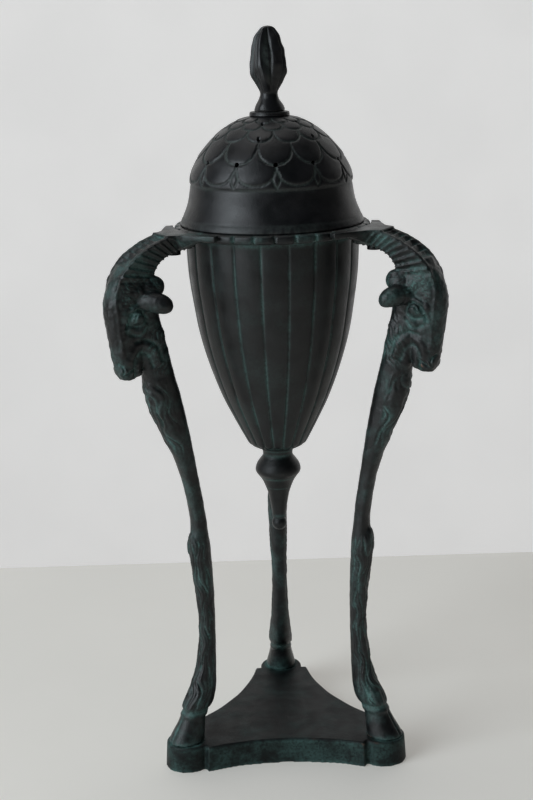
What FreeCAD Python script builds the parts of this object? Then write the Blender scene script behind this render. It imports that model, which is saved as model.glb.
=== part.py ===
import FreeCAD, Part
import os
from math import cos, pi, radians, sin, sqrt

import Sketcher

# An incense burner: an urn with a pierced lid, hung in the collar of a tripod whose three
# legs grow into goats' heads. The axis of the urn is +Z, the floor is z = 0, and the rear
# leg stands on +Y. All sizes are in millimetres and degrees.

DIMENSIONS = (
    ("stand_height", 218.0, "floor to the flat top of the collar"),
    ("plinth_height", 10.5, "height of the three-lobed plinth"),
    ("plinth_plate", 3.0, "thickness of the plinth's top plate"),
    ("plinth_wall", 2.5, "wall left round the plinth's hollow"),
    ("side_round", 90.0, "radius of a hollowed side"),
    ("corner_width", 23.2, "width of the plinth where a lobe begins"),
    ("corner_inset", 2.9, "how far a corner lies inside the lobe's centre"),
    ("lobe_round", 9.0, "radius of a plinth lobe"),
    ("urn_round", 33.8, "radius of the urn under its flange"),
    ("urn_depth", 91.2, "flange top to the urn's underside"),
    ("urn_wall", 1.6, "wall of the urn"),
    ("urn_floor", 3.0, "floor of the urn"),
    ("flange_reach", 1.2, "how far the urn's flange stands out"),
    ("flange_thick", 1.7, "thickness of the urn's flange"),
    ("flange_proud", 0.2, "how far the flange stands above the collar"),
    ("ledge_depth", 18.0, "collar top to the ledge that carries the liner"),
    ("ledge_reach", 2.1, "width of that ledge"),
    ("slide_gap", 0.4, "gap round each piece that lifts out"),
    ("band_depth", 3.3, "depth of the collar's band"),
    ("band_width", 3.8, "width of the collar's band"),
    ("gadroon_count", 30, "tongues round the collar"),
    ("gadroon_cut", 0.75, "radius of the groove between two tongues"),
    ("tab_reach", 9.0, "how far a collar tab reaches into a horn"),
    ("tab_half", 5.0, "half the width of a tab"),
    ("tab_thick", 1.8, "thickness of a tab"),
    ("tab_drop", 1.0, "drop of a tab below the band"),
    ("leg_gap", 0.4, "gap between the collar's band and a leg"),
    ("lug_thick", 2.1, "thickness of the flat lug on a horn's end"),
    ("lug_spread", 28.0, "angle from a leg to the tip of its lug"),
    ("lug_tip", 2.6, "width of a lug at its tips"),
    ("lug_reach", 14.0, "how far a lug reaches over the horns"),
    ("lug_root", 5.6, "half the width of a lug where it ends on the horns"),
    ("tab_recess", 6.5, "depth of the slot in a horn that clears a tab"),
    ("lobe_reach", 8.2, "collar's edge to the centre of a plinth lobe"),
    ("foot_screw_reach", 6.5, "collar's edge to a foot screw"),
    ("foot_thread", 2.0, "radius of a foot screw's thread"),
    ("foot_screw_bite", 9.5, "how far a foot screw enters a hoof"),
    ("collar_thread", 1.5, "radius of a collar screw's thread"),
    ("collar_screw_bite", 2.4, "how far a collar screw enters a horn"),
    ("thread_gap", 0.05, "gap round a thread in its hole"),
    ("washer_thick", 0.8, "thickness of every washer"),
    ("stud_round", 1.75, "radius of the two studs"),
    ("nut_flats", 7.0, "width of a nut across its flats"),
    ("nut_height", 3.2, "height of a nut"),
    ("drop_length", 35.2, "length of the turned drop"),
    ("drop_neck", 6.5, "radius of the drop where it meets the urn"),
    ("drop_bead", 9.1, "radius of the drop's bead"),
    ("drop_ball", 3.1, "radius of the drop's ball"),
    ("liner_wall", 0.8, "wall of the ash liner"),
    ("liner_depth", 14.0, "depth of the ash liner"),
    ("lid_height", 40.6, "rim to crown of the lid"),
    ("lid_overhang", 0.5, "how far the lid's rim overhangs the flange"),
    ("lid_wall", 1.7, "wall of the lid"),
    ("spigot_depth", 4.0, "how far the lid reaches into the urn"),
    ("hole_round", 0.85, "radius of a smoke hole"),
    ("hole_turn", 2.6, "turn of the pierced pattern from the front"),
    ("finial_disc", 7.4, "radius of the finial's disc"),
    ("finial_disc_thick", 1.5, "thickness of that disc"),
    ("bud_height", 31.7, "height of the finial's bud"),
    ("bud_round", 6.8, "radius of the bud"),
    ("bud_neck", 3.4, "radius of the bud's neck"),
)
LEG_TURNS = {"front_left": 120.0, "front_right": 240.0, "rear": 0.0}
AXIS_OF_SYMMETRY = FreeCAD.Vector(0, 0, 1)

# A leg's level sections, bottom to top: share of the height from the plinth to the collar,
# radial distance from the collar's edge, half the radial width and half the cross width.
SHANK = (
    (0.000, 8.6, 7.2, 6.5),
    (0.022, 7.0, 6.6, 5.8),
    (0.055, 4.7, 4.7, 3.9),
    (0.084, 1.3, 6.0, 4.6),
    (0.142, -1.8, 4.1, 3.7),
    (0.214, -2.9, 3.2, 3.1),
    (0.296, -2.5, 3.4, 3.2),
    (0.383, -1.0, 4.2, 4.0),
    (0.431, -1.1, 3.1, 3.2),
    (0.528, 2.1, 3.2, 3.3),
    (0.624, 7.3, 5.2, 4.7),
    (0.672, 11.0, 6.8, 5.2),
    (0.711, 13.2, 7.0, 5.4),
    (0.757, 14.4, 6.3, 5.4),
    (0.817, 17.6, 6.6, 5.4),
    (0.880, 20.4, 6.9, 6.0),
    (0.942, 21.6, 6.4, 6.0),
)
FACE = (
    (0.744, 25.8, 3.4, 3.2),
    (0.754, 25.7, 5.0, 4.1),
    (0.780, 25.9, 6.5, 4.6),
    (0.817, 26.2, 7.1, 5.4),
    (0.860, 27.0, 7.8, 6.4),
    (0.890, 26.8, 8.0, 6.5),
    (0.925, 24.8, 7.7, 6.3),
    (0.962, 21.1, 5.6, 6.0),
)
# A horn pair's upright sections: distance from the collar's edge, height of the middle below
# the collar's top, half the height and half the cross width.
HORN = (
    (0.4, 3.35, 3.15, 6.2),
    (6.0, 3.6, 3.4, 6.1),
    (10.0, 4.4, 4.15, 6.0),
    (14.5, 6.35, 4.85, 6.0),
    (19.0, 8.85, 5.2, 6.0),
    (22.0, 10.2, 4.8, 5.8),
)
EAR_ROOT = (20.0, 4.6, -25.6)
EAR_TIP = (13.6, 12.0, -24.6)
EAR_ROUND = 3.7


class Size:
    """A number together with the sheet expression that gives it."""

    def __init__(self, value, text):
        self.value = value
        self.text = text

    def joined(self, sign, other, value):
        """Return the size that this one and another make under a sign."""
        return Size(value, f"({self.text} {sign} {sized(other).text})")

    def __add__(self, other):
        return self.joined("+", other, self.value + sized(other).value)

    def __sub__(self, other):
        return self.joined("-", other, self.value - sized(other).value)

    def __mul__(self, other):
        return self.joined("*", other, self.value * sized(other).value)

    def __truediv__(self, other):
        return self.joined("/", other, self.value / sized(other).value)

    def root(self):
        """Return the square root of this size."""
        return Size(sqrt(self.value), f"sqrt({self.text})")

    def cosine(self):
        """Return the cosine of this angle in degrees."""
        return Size(cos(radians(self.value)), f"cos({self.text})")

    def sine(self):
        """Return the sine of this angle in degrees."""
        return Size(sin(radians(self.value)), f"sin({self.text})")


def sized(number):
    """Return a plain number as a Size, and a Size as it is."""
    return number if isinstance(number, Size) else Size(float(number), f"({float(number)})")


def fill_sheet(doc):
    """Write the driving dimensions into the sheet and return them as Sizes by name."""
    sheet = doc.addObject("Spreadsheet::Sheet", "Sizes")
    for row, (alias, value, meaning) in enumerate(DIMENSIONS, start=1):
        sheet.set(f"A{row}", alias)
        sheet.set(f"B{row}", str(value))
        sheet.set(f"C{row}", meaning)
        sheet.setAlias(f"B{row}", alias)
    doc.recompute()
    return {alias: Size(float(sheet.get(alias)), f"Sizes.{alias}") for alias, _, _ in DIMENSIONS}


def bind(item, **sizes):
    """Bind properties of an object to sheet expressions; __ stands for a dot."""
    for name, size in sizes.items():
        item.setExpression(name.replace("__", "."), sized(size).text)
    return item


def new_body(doc, label):
    """Add a body whose label names its file."""
    body = doc.addObject("PartDesign::Body", label)
    body.Label = label
    return body


def new_sketch(body, name, role):
    """Add a sketch on one of the body's own origin planes."""
    sketch = body.newObject("Sketcher::SketchObject", name)
    plane = [feature for feature in body.Origin.OriginFeatures if feature.Role == role][0]
    sketch.AttachmentSupport = [(plane, "")]
    sketch.MapMode = "FlatFace"
    return sketch


def pin_point(sketch, edge, end, across, up):
    """Fix one point of a sketch at two bound distances from the origin."""
    for kind, axis, size in (("DistanceX", -2, across), ("DistanceY", -1, up)):
        if abs(size.value) < 1e-9:
            sketch.addConstraint(Sketcher.Constraint("PointOnObject", edge, end, axis))
        else:
            index = sketch.addConstraint(Sketcher.Constraint(kind, -1, 1, edge, end, size.value))
            sketch.setExpression(f"Constraints[{index}]", size.text)


def bent_edge(start, finish, radius):
    """Return an arc between two points and whether it runs from start to finish.

    A positive radius bulges to the right of the way from start to finish.
    """
    chord = finish - start
    middle = (start + finish) * 0.5
    across = FreeCAD.Vector(chord.y, -chord.x, 0).normalize()
    half = chord.Length / 2
    rise = abs(radius) - sqrt(radius * radius - half * half)
    summit = middle + across * (rise if radius > 0 else -rise)
    forward = radius > 0
    ends = (start, summit, finish) if forward else (finish, summit, start)
    return Part.Arc(*ends), forward


def draw_outline(sketch, corners):
    """Draw a closed outline of lines and arcs, every corner and radius bound to the sheet.

    A corner is (across, up) or (across, up, radius of the arc to the next corner).
    """
    points = [FreeCAD.Vector(sized(corner[0]).value, sized(corner[1]).value, 0) for corner in corners]
    joints = []
    for place, corner in enumerate(corners):
        start, finish = points[place], points[(place + 1) % len(points)]
        if len(corner) == 2:
            edge = sketch.addGeometry(Part.LineSegment(start, finish), False)
            joints.append((edge, 1, 2))
            continue
        arc, forward = bent_edge(start, finish, sized(corner[2]).value)
        edge = sketch.addGeometry(arc, False)
        joints.append((edge, 1, 2) if forward else (edge, 2, 1))
        radius = sized(corner[2])
        index = sketch.addConstraint(Sketcher.Constraint("Radius", edge, abs(radius.value)))
        sketch.setExpression(f"Constraints[{index}]", f"abs({radius.text})")
    for place, corner in enumerate(corners):
        edge, first, last = joints[place]
        following, entry, _ = joints[(place + 1) % len(joints)]
        sketch.addConstraint(Sketcher.Constraint("Coincident", edge, last, following, entry))
        pin_point(sketch, edge, first, sized(corner[0]), sized(corner[1]))


def draw_circle(sketch, across, up, radius):
    """Draw a circle whose centre and radius are bound to the sheet."""
    across, up, radius = sized(across), sized(up), sized(radius)
    centre = FreeCAD.Vector(across.value, up.value, 0)
    edge = sketch.addGeometry(Part.Circle(centre, AXIS_OF_SYMMETRY, radius.value), False)
    index = sketch.addConstraint(Sketcher.Constraint("Radius", edge, radius.value))
    sketch.setExpression(f"Constraints[{index}]", radius.text)
    pin_point(sketch, edge, 3, across, up)


def pad(body, sketch, length, middle=False):
    """Pad a sketch by a bound length."""
    feature = body.newObject("PartDesign::Pad", f"{sketch.Name}_pad")
    feature.Profile = sketch
    feature.Midplane = middle
    return bind(feature, Length=length)


def pocket(body, sketch, length=None, reverse=False):
    """Cut a sketch out of the body, through all of it if no length is given."""
    feature = body.newObject("PartDesign::Pocket", f"{sketch.Name}_cut")
    feature.Profile = sketch
    feature.Reversed = reverse
    if length is None:
        feature.Type = "ThroughAll"
        return feature
    return bind(feature, Length=length)


def repeat(body, feature, count):
    """Repeat a feature evenly about the upright axis and make the pattern the body's tip."""
    pattern = body.newObject("PartDesign::PolarPattern", f"{feature.Name}_around")
    pattern.Originals = [feature]
    axis = [item for item in body.Origin.OriginFeatures if item.Role == "Z_Axis"][0]
    pattern.Axis = (axis, [""])
    pattern.Angle = 360.0
    bind(pattern, Occurrences=count)
    body.Tip = pattern
    return pattern


def turned_body(doc, label, corners):
    """Add a body turned about +Z from a half section of (radius, height) corners."""
    body = new_body(doc, label)
    sketch = new_sketch(body, f"{label}_section", "XZ_Plane")
    draw_outline(sketch, corners)
    turn = body.newObject("PartDesign::Revolution", f"{label}_turning")
    turn.Profile = sketch
    turn.ReferenceAxis = (sketch, ["V_Axis"])
    turn.Angle = 360.0
    return body


def add_plinth(doc, size):
    """Build the three-lobed plinth, hollow beneath, with a hole for each foot screw."""
    body = new_body(doc, "base_plinth")
    lobe_line, corner_reach = lobe_distance(size), corner_line(size)
    half = size["corner_width"] / 2
    corners = []
    for turn in (90.0, 210.0, 330.0):
        along, across = Size(turn, f"({turn})").cosine(), Size(turn, f"({turn})").sine()
        for side in (half * -1, half):
            point = (corner_reach * along - side * across, corner_reach * across + side * along)
            corners.append(point)
    hollowed = [corner if place % 2 == 0 else (*corner, size["side_round"] * -1)
                for place, corner in enumerate(corners)]
    plate = new_sketch(body, "plinth_plate_outline", "XY_Plane")
    draw_outline(plate, hollowed)
    pad(body, plate, size["plinth_height"])
    lobe = new_sketch(body, "plinth_lobe_outline", "XY_Plane")
    draw_circle(lobe, 0, lobe_line, size["lobe_round"])
    repeat(body, pad(body, lobe, size["plinth_height"]), 3)
    depth = size["plinth_height"] - size["plinth_plate"]
    core = new_sketch(body, "plinth_core_outline", "XY_Plane")
    draw_circle(core, 0, 0, plinth_core(size))
    pocket(body, core, depth, reverse=True)
    arm = new_sketch(body, "plinth_arm_outline", "XY_Plane")
    arm_half = size["lobe_round"] - size["plinth_wall"]
    draw_outline(arm, ((arm_half * -1, 0), (arm_half, 0), (arm_half, lobe_line, arm_half),
                       (0, lobe_line + arm_half, arm_half), (arm_half * -1, lobe_line)))
    repeat(body, pocket(body, arm, depth, reverse=True), 3)
    hole = new_sketch(body, "plinth_screw_hole", "XY_Plane")
    draw_circle(hole, 0, foot_screw_line(size), size["foot_thread"] + size["thread_gap"])
    repeat(body, pocket(body, hole, reverse=True), 3)
    return body


def add_collar(doc, size):
    """Build the collar: a band with tongues round its edge and three tabs for the horns."""
    body = new_body(doc, "collar_ring")
    top, bore, edge = size["stand_height"], collar_bore(size), collar_edge(size)
    below = top - size["band_depth"]
    seat, seat_round = top - flange_sunk(size), collar_seat(size)
    round_over = size["band_depth"] * 0.3
    section = new_sketch(body, "collar_section", "XZ_Plane")
    draw_outline(section, (
        (bore, below), (edge - round_over, below, round_over), (edge, below + round_over),
        (edge, top - round_over, round_over), (edge - round_over, top), (seat_round, top),
        (seat_round, seat), (bore, seat)))
    band = body.newObject("PartDesign::Revolution", "collar_band")
    band.Profile = section
    band.ReferenceAxis = (section, ["V_Axis"])
    band.Angle = 360.0
    groove = new_sketch(body, "collar_groove", "XY_Plane")
    draw_circle(groove, edge, 0, size["gadroon_cut"])
    repeat(body, pocket(body, groove, reverse=True), size["gadroon_count"])
    tab = new_sketch(body, "collar_tab_outline", "YZ_Plane")
    tab_top = below - size["tab_drop"]
    tab_end = edge + size["tab_reach"]
    web = edge - size["gadroon_cut"]
    draw_outline(tab, (
        (bore, tab_top - size["tab_thick"]), (tab_end, tab_top - size["tab_thick"]), (tab_end, tab_top),
        (web, tab_top), (web, below + round_over), (bore, below + round_over)))
    repeat(body, pad(body, tab, size["tab_half"] * 2, middle=True), 3)
    hole = new_sketch(body, "collar_tab_hole", "XY_Plane")
    draw_circle(hole, 0, tab_screw_line(size), size["collar_thread"] + size["thread_gap"])
    through = pocket(body, hole, below, reverse=True)
    repeat(body, through, 3)
    return body


def add_urn(doc, size):
    """Build the urn: a flanged bowl with an inner ledge and a bored floor."""
    top, round_ = flange_top(size), size["urn_round"]
    low = top - size["urn_depth"]
    under = top - size["flange_thick"]
    flange, mouth, step = round_ + size["flange_reach"], urn_mouth(size), liner_seat(size)
    belly, wall = round_ * 0.876, size["urn_wall"]
    waist, foot = round_ * 0.388, size["drop_neck"]
    belly_height, waist_height = low + size["urn_depth"] * 0.526, low + size["urn_depth"] * 0.057
    floor = low + size["urn_floor"]
    bore = size["stud_round"] + size["thread_gap"]
    upper, lower, heel = size["urn_depth"] * 2.3, size["urn_depth"] * 1.77, size["urn_depth"] * 0.085
    return turned_body(doc, "urn_bowl", (
        (bore, low), (foot, low, heel), (waist, waist_height, lower), (belly, belly_height, upper),
        (round_, under), (flange, under), (flange, top), (mouth, top), (mouth, ledge_height(size)),
        (step, ledge_height(size), upper * -1), (belly - wall, belly_height, lower * -1),
        (waist - wall, floor + size["urn_floor"] / 2), (waist - wall * 2.6, floor), (bore, floor)))


def add_drop(doc, size):
    """Build the turned drop under the urn, bored for its stud."""
    top = flange_top(size) - size["urn_depth"]
    long, neck, bead, ball = size["drop_length"], size["drop_neck"], size["drop_bead"], size["drop_ball"]
    bore, depth = size["stud_round"] + size["thread_gap"], stud_bite(size)
    waist = size["stud_round"] * 1.35
    return turned_body(doc, "urn_drop", (
        (bore, top), (bore, top - depth), (0, top - depth), (0, top - long, ball),
        (ball, top - long + ball, ball), (waist, top - long * 0.855, long * -0.85),
        (bead * 0.857, top - long * 0.327, bead * 0.25), (bead, top - long * 0.25, bead * 0.75),
        (neck * 0.92, top - long * 0.07, long * -0.06), (neck, top)))


def add_liner(doc, size):
    """Build the ash liner, a shallow dish that hangs by its rim on the urn's ledge."""
    base, wall = ledge_height(size), size["liner_wall"]
    rim, side = urn_mouth(size) - size["slide_gap"], liner_seat(size) - size["slide_gap"]
    low = base - size["liner_depth"]
    foot = side * 0.9
    curve = size["liner_depth"] * 0.35
    return turned_body(doc, "ash_liner", (
        (0, low), (foot - curve, low, curve), (foot, low + curve), (side, base), (rim, base),
        (rim, base + wall), (side - wall, base + wall), (foot - wall, low + curve, (curve - wall) * -1),
        (foot - curve, low + wall), (0, low + wall)))


def lid_profile(size):
    """Return the lid's outer corners, rim to crown."""
    base, tall, rim = flange_top(size), size["lid_height"], lid_rim(size)
    return (
        (rim, base), (rim * 0.975, base + tall * 0.068, tall * -0.86), (rim * 0.876, base + tall * 0.384),
        (rim * 0.876, base + tall * 0.42, tall * 0.9), (rim * 0.71, base + tall * 0.7, tall * 0.75),
        (rim * 0.36, base + tall * 0.952, tall * 0.9), (size["finial_disc"], lid_top(size)))


def add_lid(doc, size):
    """Build the lid: a hollow dome with a spigot, a stud hole and three rows of smoke holes."""
    base, tall, rim, wall = flange_top(size), size["lid_height"], lid_rim(size), size["lid_wall"]
    bore, crown = size["stud_round"] + size["thread_gap"], lid_top(size)
    spigot = urn_mouth(size) - size["slide_gap"]
    tip = base - size["spigot_depth"]
    inner = spigot - wall
    outer = lid_profile(size)
    body = turned_body(doc, "lid_dome", (
        *outer, (bore, crown), (bore, crown - wall),
        (size["finial_disc"], crown - wall, (tall * 0.9 - wall) * -1),
        (rim * 0.36 - wall * 0.4, base + tall * 0.952 - wall * 0.92, (tall * 0.75 - wall) * -1),
        (rim * 0.71 - wall * 0.75, base + tall * 0.7 - wall * 0.66, (tall * 0.9 - wall) * -1),
        (inner, base + tall * 0.38), (inner, tip), (spigot, tip), (spigot, base)))
    half_step = 15.0
    for name, share in (("middle", 0.59), ("upper", 0.38)):
        hole = new_sketch(body, f"smoke_hole_{name}", "XY_Plane")
        turn = size["hole_turn"] - half_step
        reach = rim * share
        draw_circle(hole, reach * turn.sine(), reach * turn.cosine() * -1, size["hole_round"])
        repeat(body, pocket(body, hole, reverse=True), 6)
    hole = new_sketch(body, "smoke_hole_lower", "XZ_Plane")
    draw_circle(hole, 0, base + tall * 0.605, size["hole_round"])
    hole.AttachmentOffset = FreeCAD.Placement(FreeCAD.Vector(), FreeCAD.Vector(0, 1, 0), 0)
    hole.setExpression("AttachmentOffset.Rotation.Angle", size["hole_turn"].text)
    repeat(body, pocket(body, hole), 12)
    return body


def add_finial(doc, size):
    """Build the finial: a disc on the crown and a bud above it, both bored for the stud."""
    base, thick, disc = lid_top(size), size["finial_disc_thick"], size["finial_disc"]
    bore = size["stud_round"] + size["thread_gap"]
    turned_body(doc, "finial_collar", (
        (bore, base), (disc, base, thick * 0.6), (disc, base + thick), (bore, base + thick)))
    foot, tall = base + thick, size["bud_height"]
    bud, neck = size["bud_round"], size["bud_neck"]
    hollow = foot + stud_bite(size) * 0.8
    turned_body(doc, "finial_bud", (
        (bore, foot), (bud * 0.86, foot, tall * -0.24), (neck, foot + tall * 0.2, tall * -0.3),
        (bud, foot + tall * 0.46, tall * 0.44), (bud * 0.5, foot + tall * 0.8, tall * 0.9),
        (bud * 0.08, foot + tall), (0, foot + tall), (0, hollow), (bore, hollow)))


def lobe_distance(size):
    """Return the distance from the axis to the centre of a lobe."""
    return collar_edge(size) + size["lobe_reach"]


def foot_screw_line(size):
    """Return the distance from the axis to a foot screw."""
    return collar_edge(size) + size["foot_screw_reach"]


def corner_line(size):
    """Return the distance from the axis to the line between a lobe's two corners."""
    return lobe_distance(size) - size["corner_inset"]


def plinth_core(size):
    """Return the radius of the round hollow, one wall inside the hollowed sides."""
    slant = Size(60.0, "(60)")
    reach, half, bend = corner_line(size), size["corner_width"] / 2, size["side_round"]
    chord = reach * slant.cosine() + half * slant.sine()
    half_chord = reach * slant.sine() - half * slant.cosine()
    return chord - bend + (bend * bend - half_chord * half_chord).root() - size["plinth_wall"]


def lid_rim(size):
    """Return the radius of the lid's rim."""
    return size["urn_round"] + size["flange_reach"] + size["lid_overhang"]


def urn_mouth(size):
    """Return the inner radius of the urn's mouth."""
    return size["urn_round"] - size["urn_wall"] - size["slide_gap"] / 2


def liner_seat(size):
    """Return the inner radius of the ledge that carries the liner."""
    return urn_mouth(size) - size["ledge_reach"]


def ledge_height(size):
    """Return the height of the ledge that carries the liner."""
    return size["stand_height"] - size["ledge_depth"]


def collar_bore(size):
    """Return the radius of the hole through the collar."""
    return size["urn_round"] + size["slide_gap"]


def collar_seat(size):
    """Return the radius of the rebate that takes the urn's flange."""
    return size["urn_round"] + size["flange_reach"] + size["slide_gap"]


def collar_edge(size):
    """Return the outer radius of the collar's band."""
    return collar_bore(size) + size["band_width"]


def flange_sunk(size):
    """Return the depth of the collar's rebate."""
    return size["flange_thick"] - size["flange_proud"]


def flange_top(size):
    """Return the height of the urn's flange, where the lid rests."""
    return size["stand_height"] + size["flange_proud"]


def lid_top(size):
    """Return the height of the lid's crown."""
    return flange_top(size) + size["lid_height"]


def stud_bite(size):
    """Return how far the drop's stud enters the drop."""
    return size["drop_length"] * 0.3


def tab_screw_line(size):
    """Return the distance from the axis to a collar screw."""
    return collar_edge(size) + size["tab_reach"] * 0.6


def tab_top(size):
    """Return the height of the face where a tab meets its horn."""
    return size["stand_height"] - size["band_depth"] - size["tab_drop"]


def oval(centre, first, second):
    """Return a closed smooth wire round a centre with two half-axis vectors."""
    count = 16
    turns = [2 * pi * step / count for step in range(count)]
    curve = Part.BSplineCurve()
    curve.interpolate([centre + first * cos(turn) + second * sin(turn) for turn in turns], PeriodicFlag=True)
    return Part.Wire([curve.toShape()])


def level_loft(sections, edge, low, tall):
    """Loft level ovals given by share of height, distance from the collar and two half-widths."""
    wires = []
    for share, reach, deep, wide in sections:
        centre = FreeCAD.Vector(0, edge + reach, low + share * tall)
        wires.append(oval(centre, FreeCAD.Vector(wide, 0, 0), FreeCAD.Vector(0, deep, 0)))
    return Part.makeLoft(wires, True, False)


def horn_pair(edge, top):
    """Return the horns of one head, lofted from the collar out to the forehead."""
    wires = []
    for reach, drop, tall, wide in HORN:
        corners = [FreeCAD.Vector(across, edge + reach, top - drop + up)
                   for across, up in ((wide, tall), (-wide, tall), (-wide, -tall), (wide, -tall))]
        wires.append(Part.makePolygon([*corners, corners[0]]))
    return Part.makeLoft(wires, True, True)


def lug(value, edge, top):
    """Return the flat lug that a horn pair ends in, hollowed to follow the collar."""
    thick, turn = value["lug_thick"], radians(value["lug_spread"])
    inner = edge + value["leg_gap"]
    tip = inner + value["lug_tip"]
    side = FreeCAD.Vector(inner * sin(turn), inner * cos(turn), top - thick)
    corner = FreeCAD.Vector(tip * sin(turn), tip * cos(turn), top - thick)
    root = FreeCAD.Vector(value["lug_root"], edge + value["lug_reach"], top - thick)
    mirrored = [FreeCAD.Vector(-point.x, point.y, point.z) for point in (root, corner, side)]
    straight = Part.makePolygon([side, corner, root, *mirrored]).Edges
    hollow = Part.Arc(mirrored[-1], FreeCAD.Vector(0, inner, top - thick), side).toShape()
    outline = Part.Wire([*straight, hollow])
    return Part.Face(outline).extrude(FreeCAD.Vector(0, 0, thick))


def ear(edge, top, side):
    """Return one rolled ear, thick at its tip, on the side given as 1 or -1."""
    root = FreeCAD.Vector(side * EAR_ROOT[1], edge + EAR_ROOT[0], top + EAR_ROOT[2])
    tip = FreeCAD.Vector(side * EAR_TIP[1], edge + EAR_TIP[0], top + EAR_TIP[2])
    way = (tip - root).normalize()
    end = tip - way * EAR_ROUND * 0.7
    shaft = Part.makeCone(EAR_ROUND * 0.7, EAR_ROUND, (end - root).Length, root, way)
    return shaft.fuse(Part.makeSphere(EAR_ROUND, end))


def leg_shape(size):
    """Return the rear leg: hoof, shank, goat's head, horns and lug, bored for its screws."""
    value = {name: number.value for name, number in size.items()}
    edge, top = collar_edge(size).value, value["stand_height"]
    low = value["plinth_height"]
    head = level_loft(FACE, edge, low, top - low)
    for extra in (horn_pair(edge, top), lug(value, edge, top), ear(edge, top, 1), ear(edge, top, -1)):
        head = head.fuse(extra)
    leg = level_loft(SHANK, edge, low, top - low).fuse(head)
    gap = value["thread_gap"]
    room = value["tab_half"] + gap
    seat = tab_top(size).value
    deep = value["tab_recess"]
    recess = Part.makeBox(2 * room, value["tab_reach"] + gap * 2 + 1.0, deep,
                          FreeCAD.Vector(-room, edge - 1.0, seat - deep))
    collar_hole = Part.makeCylinder(value["collar_thread"] + gap, value["collar_screw_bite"] + gap * 2,
                                    FreeCAD.Vector(0, tab_screw_line(size).value, seat))
    foot_hole = Part.makeCylinder(value["foot_thread"] + gap, value["foot_screw_bite"] + gap * 2,
                                  FreeCAD.Vector(0, foot_screw_line(size).value, low))
    return leg.cut(Part.makeCompound([recess, collar_hole, foot_hole])).removeSplitter()


def add_legs(doc, size):
    """Place the three equal legs about the axis."""
    shape = leg_shape(size)
    for name, turn in LEG_TURNS.items():
        leg = doc.addObject("Part::Feature", f"leg_{name}")
        leg.Label = f"leg_{name}"
        leg.Shape = shape.Solids[0] if len(shape.Solids) == 1 else shape
        leg.Placement = FreeCAD.Placement(FreeCAD.Vector(), FreeCAD.Rotation(AXIS_OF_SYMMETRY, turn))


def cylinder(doc, name, radius, height, low, across=0.0):
    """Add an upright cylinder standing at a height and a distance along +Y."""
    item = doc.addObject("Part::Cylinder", name)
    return bind(item, Radius=radius, Height=height, Placement__Base__z=low, Placement__Base__y=across)


def hexagon(doc, name, flats, height, low, across=0.0):
    """Add an upright hexagonal prism given by its width across flats."""
    item = doc.addObject("Part::Prism", name)
    item.Polygon = 6
    return bind(item, Circumradius=sized(flats) / sqrt(3.0), Height=height,
                Placement__Base__z=low, Placement__Base__y=across)


def boolean(doc, kind, name, base, tool):
    """Add a Part boolean of two objects."""
    item = doc.addObject(f"Part::{kind}", name)
    item.Base, item.Tool = base, tool
    item.Label = name
    return item


def add_screw(doc, name, thread, bite, seat, head_height, line):
    """Add a socket screw that points up, its head's upper face on a seat."""
    head = cylinder(doc, f"{name}_head", thread * 1.75, head_height, seat - head_height, line)
    shaft = cylinder(doc, f"{name}_shaft", thread, bite, seat, line)
    socket = hexagon(doc, f"{name}_socket", thread * 1.5, head_height / 2, seat - head_height, line)
    whole = boolean(doc, "Fuse", f"{name}_blank", head, shaft)
    return boolean(doc, "Cut", name, whole, socket)


def add_washer(doc, name, bore, low, thick, line=0.0):
    """Add a flat washer."""
    disc = cylinder(doc, f"{name}_disc", bore * 2.2, thick, low, line)
    hole = cylinder(doc, f"{name}_hole", bore, thick, low, line)
    return boolean(doc, "Cut", name, disc, hole)


def add_nut(doc, name, flats, bore, height, low):
    """Add a hexagonal nut."""
    block = hexagon(doc, f"{name}_block", flats, height, low)
    hole = cylinder(doc, f"{name}_hole", bore, height, low)
    return boolean(doc, "Cut", name, block, hole)


def add_group(doc, name, make):
    """Join three equal fasteners, one at each leg, in one sub-part of separate solids."""
    links = []
    for leg, turn in LEG_TURNS.items():
        item = make(f"{name}_{leg}")
        item.Placement = FreeCAD.Placement(FreeCAD.Vector(), FreeCAD.Rotation(AXIS_OF_SYMMETRY, turn))
        links.append(item)
    group = doc.addObject("Part::Compound", name)
    group.Links = links
    group.Label = name


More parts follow.
